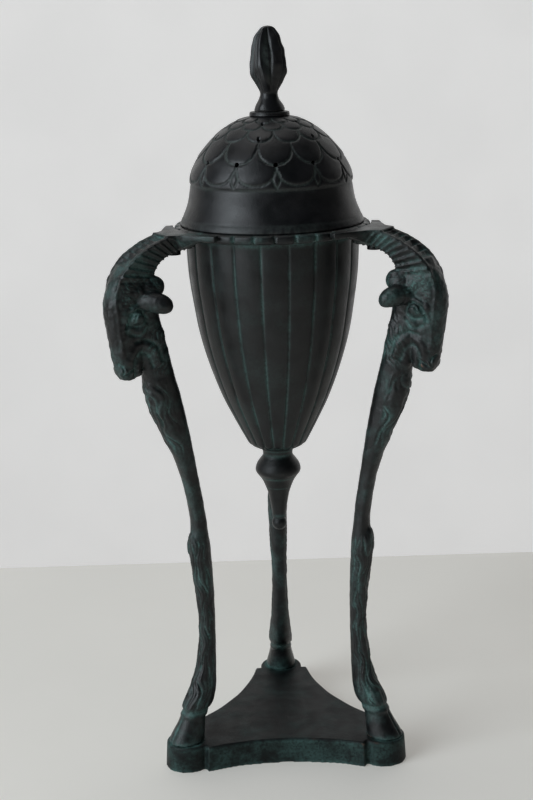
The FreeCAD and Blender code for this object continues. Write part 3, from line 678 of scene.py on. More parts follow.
@dataclass
class Leg:
    """One leg: cloven hoof, furred shank, goat's head, ribbed horns and the lug they end in.

    The leg is modelled with x across it, y outwards from the urn's axis and z up. Sections
    give height, distance from the axis, and half the depth and width, in millimetres.
    """

    low: float
    top: float
    edge: float
    hub: tuple[float, float] = (35.0, 199.5)
    fan: tuple[float, float] = (30.5, 198.6)
    rib: float = 4.9
    valley: float = 1.7
    voxel: float = 0.4
    shank: tuple[Point, ...] = (
        (10.5, 46.8, 7.3, 6.6), (13.0, 46.0, 6.9, 6.2), (17.0, 44.5, 5.7, 5.2), (21.0, 43.2, 4.9, 4.3),
        (23.0, 42.2, 4.8, 4.2), (24.6, 41.0, 6.8, 5.3), (28.5, 39.6, 6.2, 4.8), (33.0, 37.9, 5.3, 4.3),
        (40.0, 36.4, 4.1, 3.6), (52.0, 35.3, 3.3, 3.1), (62.0, 35.1, 3.2, 3.1), (72.0, 35.6, 3.6, 3.3),
        (82.0, 36.5, 4.1, 3.8), (92.0, 37.4, 4.4, 4.0), (96.2, 37.6, 4.3, 3.9), (97.4, 37.1, 3.3, 3.4),
        (104.0, 37.4, 3.1, 3.2), (112.0, 38.6, 3.1, 3.2), (120.0, 40.1, 3.2, 3.3), (130.0, 42.5, 3.9, 4.1),
        (140.0, 45.6, 5.3, 4.7), (150.0, 49.0, 6.7, 5.2), (157.0, 51.0, 7.2, 5.3), (162.0, 51.7, 6.4, 5.3),
        (167.0, 52.8, 6.3, 5.2), (175.0, 54.9, 6.6, 5.2), (185.0, 57.2, 6.4, 5.3), (196.0, 59.2, 6.6, 5.6),
        (205.0, 60.0, 6.2, 5.4))
    face: tuple[Point, ...] = (
        (164.9, 65.2, 2.6, 2.9), (165.8, 65.0, 4.2, 4.0), (168.0, 64.6, 5.0, 4.5), (172.0, 64.4, 6.2, 4.5),
        (178.0, 64.5, 6.9, 4.7), (184.0, 64.9, 7.3, 5.2), (190.0, 65.6, 7.6, 5.7), (196.0, 65.5, 7.3, 5.9),
        (202.0, 63.8, 6.6, 5.8), (208.0, 60.6, 5.6, 5.6))
    horn: tuple[Point, ...] = (
        (-4.0, 35.6, 21.0, 4.6), (6.0, 34.3, 19.4, 5.6), (14.0, 32.5, 19.0, 6.1), (22.0, 30.1, 18.6, 6.3),
        (30.0, 27.7, 17.8, 6.3), (40.0, 25.2, 16.3, 6.2), (50.0, 23.2, 14.9, 6.1), (60.0, 21.4, 13.7, 6.1),
        (70.0, 19.7, 12.8, 6.2), (79.0, 18.85, 12.2, 6.4))

    def blank(self) -> bpy.types.Object:
        """Build the rough leg from overlapping solids and fuse them into one skin."""
        shape = bmesh.new()
        for keys, square in ((self.shank, 2.25), (self.face, 2.4)):
            rings = [oval(Vector((0, reach, height)), Vector((wide, 0, 0)), Vector((0, deep, 0)), 28, square)
                     for height, reach, deep, wide in sections_between(keys, 1.5)]
            loft(shape, rings)
        loft(shape, self.horn_rings())
        self.add_lug(shape)
        for side in (-1.0, 1.0):
            self.add_features(shape, side)
        piece = new_piece("leg_blank", shape)
        remeshed(piece, self.voxel, 4)
        return piece

    def horn_rings(self) -> list[list[Vector]]:
        """Return the horn pair's sections, square to an arc about the hub, with a valley on top."""
        hub = Vector((0, *self.hub))
        rings = []
        for turn, outer, inner, wide in sections_between(self.horn, 3.0):
            out = Vector((0, math.cos(math.radians(turn)), math.sin(math.radians(turn))))
            valley = self.valley * float(smoothstep(8.0, 20.0, turn))
            valley = valley * float(1 - smoothstep(66.0, 76.0, turn))
            section = ((0.0, outer - valley), (0.42, outer - valley * 0.85), (0.78, outer - 0.1),
                       (0.97, outer - 0.5), (1.0, outer - 1.4), (0.93, (outer + inner) / 2),
                       (0.8, inner + 1.0), (0.5, inner + 0.1), (0.0, inner))
            right = [Vector((wide * across, 0, 0)) + hub + out * reach for across, reach in section]
            left = [Vector((-point.x, point.y, point.z)) for point in right[-2:0:-1]]
            rings.append(right + left)
        return rings

    def add_lug(self, shape: bmesh.types.BMesh) -> None:
        """Add the thin flat lug that follows the collar and sweeps into the horns' ridges."""
        inner, thick, spread = self.edge + 0.45, 2.0, math.radians(28.0)
        tip = inner + 3.0
        arc = [(inner * math.sin(turn), inner * math.cos(turn)) for turn in np.linspace(-spread, spread, 15)]
        side = [(tip * math.sin(spread), tip * math.cos(spread)), (12.2, 41.6), (8.4, 44.2), (6.5, 47.0)]
        other = [(-across, reach) for across, reach in side[::-1]]
        outline = [*arc, *side, (6.2, 49.0), (-6.2, 49.0), *other]
        face = shape.faces.new([shape.verts.new((x, y, self.top - thick)) for x, y in outline])
        grown = bmesh.ops.extrude_face_region(shape, geom=[face])["geom"]
        lifted = [item for item in grown if isinstance(item, bmesh.types.BMVert)]
        bmesh.ops.translate(shape, vec=(0, 0, thick), verts=lifted)
        for end in (-1.0, 1.0):
            places = [(end * 16.4, 38.2, self.top - 1.0), (end * 12.0, 40.4, self.top - 2.7),
                      (end * 6.2, 46.2, self.top - 2.2), (end * 5.6, 44.5, self.top - 5.6),
                      (end * 5.4, self.edge + 1.2, self.top - 5.4),
                      (end * 5.4, self.edge + 1.2, self.top - 1.0),
                      (end * 9.5, self.edge - 0.4, self.top - 2.9)]
            bmesh.ops.convex_hull(shape, input=[shape.verts.new(place) for place in places])

    def add_features(self, shape: bmesh.types.BMesh, side: float) -> None:
        """Add the lumps on one side of the head and shank: ear, eye, brow, cheek, lips, tufts."""
        ear = through(((side * 3.2, 60.4, 194.4), (side * 7.6, 56.2, 194.3), (side * 12.7, 51.0, 192.9)), 0.8)
        way = (ear[-1] - ear[0]).normalized()
        flat = way.cross(Vector((0, 0, 1))).normalized()
        rings = []
        for index, place in enumerate(ear):
            share = index / (len(ear) - 1)
            rounding = math.sqrt(max(1.0 - share**5, 0.01))
            swell = (3.15 + 1.05 * math.sin(math.pi * min(share * 0.62, 0.5))) * rounding
            rings.append(oval(place, flat * swell * 0.92, Vector((0, 0, 1)) * swell, 20))
        loft(shape, rings)
        for centre, size, tilt in (
            ((5.2, 62.6, 189.1), (2.6, 3.1, 2.7), 0.0),
            ((4.9, 63.2, 192.6), (1.7, 4.4, 1.3), -24.0),
            ((5.0, 66.6, 189.8), (1.2, 1.7, 3.2), 0.0),
            ((4.6, 60.6, 184.2), (1.5, 2.6, 4.4), 20.0),
            ((3.4, 55.2, 198.9), (3.7, 5.4, 4.6), -16.0),
            ((4.4, 61.2, 198.3), (2.1, 3.6, 2.8), 0.0),
            ((2.2, 67.6, 168.8), (2.3, 1.8, 2.9), 0.0),
            ((1.9, 62.2, 167.4), (2.1, 2.4, 1.8), 0.0),
            ((3.4, 54.4, 178.0), (2.4, 3.6, 7.0), 12.0),
            ((1.0, 40.3, 93.0), (1.9, 1.6, 4.8), 4.0),
            ((0.6, 41.0, 95.8), (1.2, 0.9, 3.0), 6.0),
        ):
            ball(shape, (side * centre[0], centre[1], centre[2]), size, tilt)

    def relief(self, places: np.ndarray, normals: np.ndarray) -> tuple[np.ndarray, np.ndarray]:
        """Return the carving's height and hollows over the whole leg."""
        across, reach, height = places.T
        raised = np.zeros(len(places))
        hollow = np.zeros(len(places))
        sideways = smoothstep(0.15, 0.55, np.abs(normals[:, 0]))

        def press(amount: np.ndarray, gap: np.ndarray | None = None) -> None:
            """Add to the carving."""
            nonlocal raised, hollow
            raised = raised + amount
            if gap is not None:
                hollow = np.maximum(hollow, gap)

        # horns: a sawtooth of ribs on both sides and in the valley between the ridges
        turn = np.degrees(np.arctan2(height - self.hub[1], reach - self.hub[0]))
        span = np.hypot(height - self.hub[1], reach - self.hub[0])
        fan = np.degrees(np.arctan2(height - self.fan[1], reach - self.fan[0]))
        part = ((fan - 5.2) / self.rib) % 1.0
        on_horn = (smoothstep(4.5, 7.0, fan) * smoothstep(11.0, 12.0, span) * (height < self.top - 0.9)
                   * (1 - smoothstep(7.2, 9.0, np.abs(across))) * (1 - smoothstep(72.0, 76.0, fan)))
        tooth = np.where(part < 0.86, part / 0.86, (1 - part) / 0.14)
        valley = smoothstep(14.0, 18.0, turn) * (1 - smoothstep(66.0, 72.0, turn))
        valley = valley * (1 - smoothstep(3.4, 4.4, np.abs(across)))
        ridge = np.interp(turn, [row[0] for row in self.horn], [row[1] for row in self.horn])
        outside = smoothstep(0.45, 0.75, np.abs(normals[:, 0])) * (1 - smoothstep(-1.3, -0.5, span - ridge))
        ribbed = on_horn * np.maximum(outside, valley)
        press(ribbed * (1.05 * tooth - 0.62), ribbed * bell(part - 0.99, 0.12))

        # fur and wool: staggered locks, masked to where the hair grows
        middle = np.interp(height, [row[0] for row in self.shank], [row[1] for row in self.shank])
        round_ = np.arctan2(across, reach - middle) / FULL_TURN
        for count, length, bottom, lower, upper, end, amount, outer in (
            (6.0, 13.0, 23.6, 25.0, 93.5, 97.5, 1.05, 0.27),
            (4.5, 13.0, 131.0, 138.0, 160.0, 165.0, 1.5, 0.2),
        ):
            sway = 0.42 * np.sin(height * 0.3 + round_ * 9.0) + 0.2 * np.sin(height * 0.6 + 2.0)
            hair, gap = locks(round_ * count * 2.2 + sway, height + 1.5 * np.sin(round_ * 19.0), 2.2, length)
            mask = smoothstep(bottom, lower, height) * (1 - smoothstep(upper, end, height))
            mask = mask * (1 - smoothstep(outer, outer + 0.1, np.abs(round_))) * (reach < 62.0)
            strands = 0.13 * np.sin(round_ * count * 21.0 + 9.0 * sway)
            press(mask * (amount * (hair - 0.5) + strands), mask * gap)
        for flow, width, length, centre, spans, amount in (
            (28.0, 2.0, 5.2, (53.6, 176.0), (5.6, 10.5), 0.8),
            (-50.0, 2.4, 3.4, (60.2, 200.0), (9.0, 5.2), 0.45),
            (-20.0, 2.4, 4.6, (53.6, 195.5), (3.6, 7.0), 0.3),
            (64.0, 1.7, 3.0, (66.4, 194.6), (2.6, 2.8), 0.5),
        ):
            lean = math.radians(flow)
            sheer = (reach - centre[0]) * math.cos(lean) + (height - centre[1]) * math.sin(lean)
            climb = (height - centre[1]) * math.cos(lean) - (reach - centre[0]) * math.sin(lean)
            hair, gap = locks(sheer + 0.5 * np.sin(climb), climb, width, length)
            away = np.hypot((reach - centre[0]) / spans[0], (height - centre[1]) / spans[1])
            inside = (1 - smoothstep(0.75, 1.1, away)) * sideways * (np.abs(across) < 8.5)
            press(inside * amount * (hair - 0.45), inside * gap)

        # lines cut or raised on the sides of the head: reach and height along each, width, height
        for line, width, amount in (
            (((58.4, 188.4), (59.8, 191.4), (62.6, 192.4), (65.2, 190.6), (66.4, 187.6)), 0.65, 0.55),
            (((58.6, 187.6), (60.4, 186.2), (63.0, 186.0), (66.2, 187.4)), 0.6, 0.5),
            (((58.6, 188.2), (60.2, 191.2), (62.9, 192.0), (65.4, 189.8), (66.4, 187.2), (66.8, 185.4)),
             0.55, -0.9),
            (((59.0, 187.2), (61.0, 185.9), (63.4, 185.7), (66.0, 186.4)), 0.5, -0.7),
            (((65.0, 190.4), (65.9, 188.2), (66.9, 184.2)), 0.8, -0.55),
            (((60.0, 190.0), (62.6, 190.6), (64.6, 189.0)), 0.35, -0.35),
            (((59.0, 184.4), (61.5, 182.0), (65.2, 182.8)), 0.7, -0.55),
            (((63.4, 190.4), (64.0, 188.0)), 0.45, -0.5),
            (((54.0, 170.6), (56.2, 175.6), (60.4, 178.3), (64.2, 176.2), (65.8, 172.6)), 1.3, 0.6),
            (((52.6, 171.5), (54.8, 177.4), (59.6, 180.2), (63.4, 179.6)), 0.6, -0.4),
            (((56.4, 169.6), (58.2, 173.8), (61.0, 175.2), (63.0, 173.4), (63.8, 170.8)), 0.75, -0.5),
            (((69.9, 171.6), (68.6, 170.6), (68.2, 168.6), (68.9, 167.0)), 0.45, -0.8),
            (((68.8, 165.6), (65.6, 168.4), (62.9, 169.8)), 0.45, -0.9),
            (((63.4, 163.5), (63.2, 166.5), (63.4, 168.6)), 0.6, -1.3),
            (((67.4, 186.5), (68.4, 180.0), (68.6, 174.0)), 0.8, 0.35),
            (((68.6, 203.5), (70.2, 196.5), (69.8, 190.0), (69.0, 182.0), (67.9, 174.5)), 0.55, 0.35),
        ):
            distance = self.from_line(reach, height, line)
            weight = sideways * (span > 0) * (np.abs(across) < 8.0)
            near = weight * bell(distance, width)
            press(near * amount, near * (0.9 if amount < 0 else 0.0))

        # the cleft hoof and its horny rim
        on_hoof = 1 - smoothstep(20.5, 22.5, height)
        front = smoothstep(0.3, 0.8, normals[:, 1])
        press(-on_hoof * front * 0.45 * bell(across, 0.4), on_hoof * front * bell(across, 0.6))
        ring = 0.3 * bell(height - 21.4, 0.7) - 0.45 * bell(height - 23.4, 0.5)
        press(ring, bell(height - 23.0, 1.2) * (reach < 60))
        press(np.zeros(len(places)), 0.9 * bell(height - self.low - 0.3, 1.1))

        # the unevenness of a hand-worked casting
        press(0.09 * lumps(places, 9.0) + (0.03 + 0.09 * (reach > 54.0)) * lumps(places + 40.0, 3.6))

        # a raised arris down the outer side of the bare shank
        bare = smoothstep(98.0, 102.0, height) * (1 - smoothstep(126.0, 134.0, height))
        press(bare * 0.35 * bell(np.abs(round_) - 0.16, 0.05))
        return raised, hollow

    @staticmethod
    def from_line(reach: np.ndarray, height: np.ndarray, line: Sequence[Point]) -> np.ndarray:
        """Return each place's distance from a smooth line drawn on the side of the head."""
        best = np.full(len(reach), 1e3)
        near = (reach > min(p[0] for p in line) - 4) & (reach < max(p[0] for p in line) + 4)
        near &= (height > min(p[1] for p in line) - 4) & (height < max(p[1] for p in line) + 4)
        places = through(line, 0.3)
        chosen = np.stack([reach[near], height[near]], axis=1)
        nearest = np.full(len(chosen), 1e3)
        for place in places:
            nearest = np.minimum(nearest, np.hypot(chosen[:, 0] - place.x, chosen[:, 1] - place.y))
        best[near] = nearest
        return best

    def build(self, finishes: Finishes) -> None:
        """Carve one leg and set three copies round the axis."""
        first = self.blank()
        hollow = carve(first.data, self.relief)
        trim(first.data, self.low, self.top)
        mark_relief(first.data, 0.8 * hollow)
        for name, azimuth in LEG_AZIMUTHS.items():
            mesh = first.data.copy()
            mesh.transform(Matrix.Rotation(math.radians(azimuth - 90.0), 4, "Z"))
            piece = bpy.data.objects.new(f"goat_leg_{name}", mesh)
            bpy.context.scene.collection.objects.link(piece)
            dress(piece, finishes.leg, Body.STAND, Slot.BRONZE, f"leg_{name}")
        bpy.data.objects.remove(first)


# --- the plinth and the collar --------------------------------------------------------------


@dataclass
class Plinth:
    """The three-lobed plinth with hollowed sides, open beneath."""

    height: float
    lobe_line: float = 46.2
    lobe: float = 9.15
    corner: tuple[float, float] = (43.2, 11.5)
    side_round: float = 90.0
    plate: float = 3.0
    wall: float = 2.5

    def outline(self) -> list[Vector]:
        """Return the outline seen from above, counter-clockwise."""
        points: list[Vector] = []
        step = (self.lobe_line - self.corner[0]) / self.lobe
        start = math.asin(step)
        for azimuth in (90.0, 210.0, 330.0):
            turn = Matrix.Rotation(math.radians(azimuth - 90.0), 3, "Z")
            lobe = [Vector((self.lobe * math.cos(part), self.lobe_line + self.lobe * math.sin(part), 0))
                    for part in np.linspace(-start, math.pi + start, 40)]
            reach, across = self.corner
            own = [Vector((across, reach, 0)), *lobe, Vector((-across, reach, 0))]
            points.extend(turn @ point for point in own)
            points.extend(self.hollowed_side(turn))
        return points

    def hollowed_side(self, turn: Matrix) -> list[Vector]:
        """Return the inner points of the concave side that follows a lobe."""
        reach, across = self.corner
        begin = turn @ Vector((-across, reach, 0))
        end = turn @ Matrix.Rotation(math.radians(120.0), 3, "Z") @ Vector((across, reach, 0))
        middle = (begin + end) / 2
        half = (end - begin).length / 2
        centre = middle + middle.normalized() * math.sqrt(self.side_round**2 - half**2)
        spread = math.asin(half / self.side_round)
        inward = (middle - centre).normalized()
        return [centre + Matrix.Rotation(part, 3, "Z") @ inward * self.side_round
                for part in np.linspace(spread, -spread, 34)[1:-1]]

    def build(self, finishes: Finishes) -> None:
        """Extrude the outline, hollow it from beneath and round its edges."""
        shape = bmesh.new()
        floor = shape.faces.new([shape.verts.new(point) for point in self.outline()])
        grown = bmesh.ops.extrude_face_region(shape, geom=[floor])["geom"]
        top = [item for item in grown if isinstance(item, bmesh.types.BMVert)]
        bmesh.ops.translate(shape, vec=(0, 0, self.height), verts=top)
        bmesh.ops.scale(shape, vec=(0.986, 0.986, 1.0), verts=top)
        shape.faces.ensure_lookup_table()
        under = [face for face in shape.faces if abs(face.calc_center_median().z) < 1e-6]
        bmesh.ops.inset_region(shape, faces=under, thickness=self.wall, use_even_offset=True)
        inner = [face for face in shape.faces if len(face.verts) > 60 and face.calc_center_median().z < 1e-6]
        lifted = bmesh.ops.extrude_face_region(shape, geom=inner)["geom"]
        bmesh.ops.delete(shape, geom=inner, context="FACES_ONLY")
        bmesh.ops.translate(shape, vec=(0, 0, self.height - self.plate),
                            verts=[item for item in lifted if isinstance(item, bmesh.types.BMVert)])
        rim = [edge for edge in shape.edges
               if edge.is_manifold and edge.calc_face_angle() > 1.0
               and (min(vert.co.z for vert in edge.verts) > self.height - 1e-4)]
        bmesh.ops.bevel(shape, geom=rim, offset=0.55, segments=3, profile=0.5, affect="EDGES", material=-1,
                        clamp_overlap=True)
        piece = new_piece("lobed_plinth", shape)
        remeshed(piece, 0.55, 1)
        carve(piece.data, self.relief)
        places = trim(piece.data, 0.0, self.height)
        mark_relief(piece.data, self.foot_grime(places), gain=4.0)
        dress(piece, finishes.base, Body.STAND, Slot.BRONZE, "base_plinth")

    def relief(self, places: np.ndarray, _: np.ndarray) -> tuple[np.ndarray, np.ndarray]:
        """Return the plinth's faint casting waviness."""
        wave = np.sin(places[:, 0] * 0.31 + 1.0) * np.sin(places[:, 1] * 0.27) * 0.1
        return wave, np.zeros(len(places))

    def foot_grime(self, places: np.ndarray) -> np.ndarray:
        """Return the hollows round each hoof and along the plinth's foot."""
        grime = 0.45 * (1 - smoothstep(0.0, 1.6, places[:, 2])) + 0.3 * (places[:, 2] < self.height - 1.0)
        grime = grime + 0.35 * bell(places[:, 2] - self.height + 0.9, 0.5)
        for azimuth in LEG_AZIMUTHS.values():
            turn = math.radians(azimuth)
            reach = np.hypot(places[:, 0] - HOOF_REACH * math.cos(turn),
                             places[:, 1] - HOOF_REACH * math.sin(turn))
            grime = np.maximum(grime, 0.9 * bell(reach - 6.6, 1.1) * (places[:, 2] > self.height - 0.5))
        return grime


@dataclass
class Collar:
    """The ring that carries the urn, its edge cut into tongues, with a tab under each horn."""

    top: float
    edge: float
    bore: float = 34.2
    seat: float = 35.4
    depth: float = 3.3
    sunk: float = 1.5
    tongues: int = 30
    steps_each: int = 20

    def build(self, finishes: Finishes) -> None:
        """Turn the band, cut its tongues and add the tabs."""
        low = self.top - self.depth
        outer = through(((self.edge - 1.0, low), (self.edge - 0.15, low + 0.5), (self.edge, low + 1.7),
                         (self.edge - 0.2, self.top - 0.5), (self.edge - 0.9, self.top)), 0.3)
        inner = [Vector(point) for point in (
            (self.edge - 2.0, self.top, 0), (self.seat, self.top, 0), (self.seat, self.top - self.sunk, 0),
            (self.bore, self.top - self.sunk, 0), (self.bore, low, 0), (self.edge - 2.4, low, 0))]
        shape = turned([*outer, *inner], self.tongues * self.steps_each, closed=True)
        for azimuth in LEG_AZIMUTHS.values():
            self.add_tab(shape, azimuth, low)
        piece = new_piece("collar_with_tongues", shape)
        hollow = carve(piece.data, self.relief)
        mark_relief(piece.data, hollow, reach=2)
        dress(piece, finishes.leg, Body.STAND, Slot.BRONZE, "collar_ring")

    def add_tab(self, shape: bmesh.types.BMesh, azimuth: float, low: float) -> None:
        """Add the bracket that a horn is screwed to."""
        turn = Matrix.Rotation(math.radians(azimuth), 4, "Z")
        for centre, size in (((self.edge + 3.2, 0, low - 1.8), (10.4, 6.8, 1.6)),
                             ((self.edge - 1.4, 0, low - 0.6), (1.6, 6.8, 2.2))):
            block = bmesh.ops.create_cube(shape, size=1.0)["verts"]
            bmesh.ops.scale(shape, vec=size, verts=block)
            bmesh.ops.translate(shape, vec=centre, verts=block)
            edges = list({edge for vert in block for edge in vert.link_edges})
            made = bmesh.ops.bevel(shape, geom=edges, offset=0.25, segments=2, profile=0.5, affect="EDGES",
                                   material=-1)
            fresh = {vert for vert in made["verts"]} | {vert for vert in block if vert.is_valid}
            bmesh.ops.transform(shape, matrix=turn, verts=list(fresh))

    def relief(self, places: np.ndarray, _: np.ndarray) -> tuple[np.ndarray, np.ndarray]:
        """Return the grooves between tongues, each tongue rounded across."""
        round_, turn = round_the_axis(places)
        part = (turn / (360.0 / self.tongues)) % 1.0
        side = np.abs(part - 0.5) * 2.0
        on_edge = smoothstep(self.edge - 1.7, self.edge - 0.8, round_) * (round_ < self.edge + 0.3)
        from_gap = (1 - side) * math.pi * self.edge / self.tongues
        height = -0.35 * side**4 - 0.75 * bell(from_gap, 0.42)
        return on_edge * height, on_edge * bell(from_gap, 0.6)


# --- the urn, the liner and the lid ---------------------------------------------------------


@dataclass
class Urn:
    """The fluted urn with its flange and the ledge that carries the liner."""

    top: float
    mouth: float = 32.0
    ledge: float = 29.9
    flange: float = 35.0
    seat: float = 200.0
    flutes: int = 20
    steps_each: int = 26
    wall: float = 1.6
    profile: tuple[Point, ...] = (
        (6.5, 127.0), (9.5, 128.2), (11.6, 129.7), (13.1, 132.2), (17.8, 141.4), (22.0, 150.5), (26.4, 163.0),
        (29.6, 175.0), (31.6, 187.1), (33.1, 198.9), (33.8, 213.5))

    def build(self, finishes: Finishes) -> None:
        """Turn the wall as one closed outline and press the flutes into its outer side."""
        outside = through(self.profile, 0.8)
        flange = [(33.8, self.top - 1.9), (34.6, self.top - 1.75), (self.flange, self.top - 1.3),
                  (self.flange, self.top - 0.3), (self.flange - 0.3, self.top)]
        inside = [(self.mouth, self.top), (self.mouth, self.seat + 8.0), (self.mouth - 0.4, self.seat + 3.0),
                  (self.ledge + 1.6, self.seat), (self.ledge, self.seat), (self.ledge - 0.3, self.seat - 3.0),
                  (29.6, 187.1), (27.6, 175.0), (24.4, 163.0), (20.0, 150.5), (15.8, 141.4), (11.0, 133.4),
                  (STUD_HOLE, URN_FOOT + 3.0)]
        outline = [*outside, *[Vector((x, y, 0)) for x, y in (*flange, *inside)],
                   Vector((STUD_HOLE, URN_FOOT, 0))]
        shape = turned(outline, self.flutes * self.steps_each, closed=True)
        piece = new_piece("fluted_urn", shape)
        hollow = carve(piece.data, self.relief)
        mark_relief(piece.data, hollow, reach=2)
        dress(piece, finishes.urn, Body.URN, Slot.BRONZE, "urn_bowl")

    def relief(self, places: np.ndarray, normals: np.ndarray) -> tuple[np.ndarray, np.ndarray]:
        """Return shallow convex flutes with a sharp groove between each two."""
        round_, turn = round_the_axis(places)
        spread = 360.0 / self.flutes
        side = np.abs((turn / spread + 0.5) % 1.0 - 0.5) * 2.0
        gap = (1 - side) * math.pi * round_ / self.flutes
        outer = facing_out(places, normals, round_)
        low = 127.6 + 1.6 * side**2
        faded = smoothstep(0.0, 2.2, places[:, 2] - low) * (1 - smoothstep(213.2, 214.2, places[:, 2]))
        faded = faded * (outer > 0.02) * smoothstep(6.0, 9.0, round_)
        bulge = -0.012 * round_ * side**2.2
        groove = -0.38 * bell(gap, 0.33)
        end = -0.35 * bell(places[:, 2] - low - 0.9, 0.45) * (outer > 0.02) * (round_ > 7.5)
        hollow = np.maximum(faded * bell(gap, 0.5), 0.8 * bell(places[:, 2] - low - 0.9, 0.6) * (round_ < 14))
        hollow = np.maximum(hollow, 0.8 * bell(places[:, 2] - 213.9, 0.5) * (round_ > 33.0))
        return faded * (bulge + groove) + end, hollow


@dataclass
class Drop:
    """The turned drop that hangs under the urn."""

    low: float
    profile: tuple[Point, ...] = (
        (6.5, 127.0), (6.05, 125.6), (5.95, 124.4), (6.3, 123.5), (7.3, 122.2), (8.5, 120.4), (9.1, 118.4),
        (8.9, 117.0), (7.9, 115.6), (6.7, 113.9), (5.7, 111.8), (4.4, 108.2), (3.6, 104.3), (2.98, 100.4),
        (2.75, 98.6), (2.7, 97.6))

    def build(self, finishes: Finishes) -> None:
        """Turn the drop and its ball, and mark the grooves between its parts."""
        ball_low, ball = self.low, 3.05
        centre = ball_low + ball
        start = math.pi / 2 - math.asin(2.3 / ball)
        round_end = [Vector((ball * math.cos(part), centre + ball * math.sin(part), 0))
                     for part in np.linspace(start, -math.pi / 2, 40)]
        top = [Vector((0, URN_FOOT, 0)), Vector((6.1, URN_FOOT, 0))]
        outline = [*top, *through(self.profile, 0.35), *round_end]
        piece = new_piece("turned_drop", turned(outline, 128))
        places, _ = corners(piece.data)
        grime = np.zeros(len(places))
        for line, width in ((124.6, 0.7), (115.0, 0.5), (98.2, 0.6), (126.4, 0.4), (110.6, 0.25)):
            grime = np.maximum(grime, bell(places[:, 2] - line, width))
        mark_relief(piece.data, 0.9 * grime, reach=2)
        dress(piece, finishes.urn, Body.URN, Slot.BRONZE, "urn_drop")


@dataclass
class Liner:
    """The spun brass dish that holds the ash, hung by its flat rim."""

    wall: float = 0.8

    def build(self, finishes: Finishes) -> None:
        """Turn the dish inside its own CAD box."""
        low, high = node_box("ash_liner")
        rim, side, foot, top = high.x, high.x - 2.1, high.x - 5.05, high.z
        curve, floor = 4.9, low.z
        outline = through(((0.0, floor), (foot - curve, floor), (foot - curve * 0.6, floor + curve * 0.08),
                           (foot - curve * 0.22, floor + curve * 0.36), (foot, floor + curve),
                           (side, top - self.wall)), 0.8)
        edge = [(rim - 0.1, top - self.wall), (rim, top - self.wall / 2), (rim - 0.1, top)]
        inner = through(((side - self.wall, top), (foot - self.wall, floor + curve + 0.4),
                         (foot - curve * 0.3 - self.wall, floor + curve * 0.36 + self.wall * 0.7),
                         (foot - curve, floor + self.wall), (0.0, floor + self.wall)), 0.8)
        points = [*outline, *[Vector((x, z, 0)) for x, z in edge], *inner]
        piece = new_piece("ash_dish", turned(points, 160))
        hollow = carve(piece.data, self.relief)
        mark_relief(piece.data, hollow)
        dress(piece, finishes.brass, Body.LINER, Slot.BRASS, "ash_liner")

    def relief(self, places: np.ndarray, _: np.ndarray) -> tuple[np.ndarray, np.ndarray]:
        """Return the faint rings that spinning leaves."""
        return 0.03 * np.sin(np.hypot(places[:, 0], places[:, 1]) * 5.0), np.zeros(len(places))


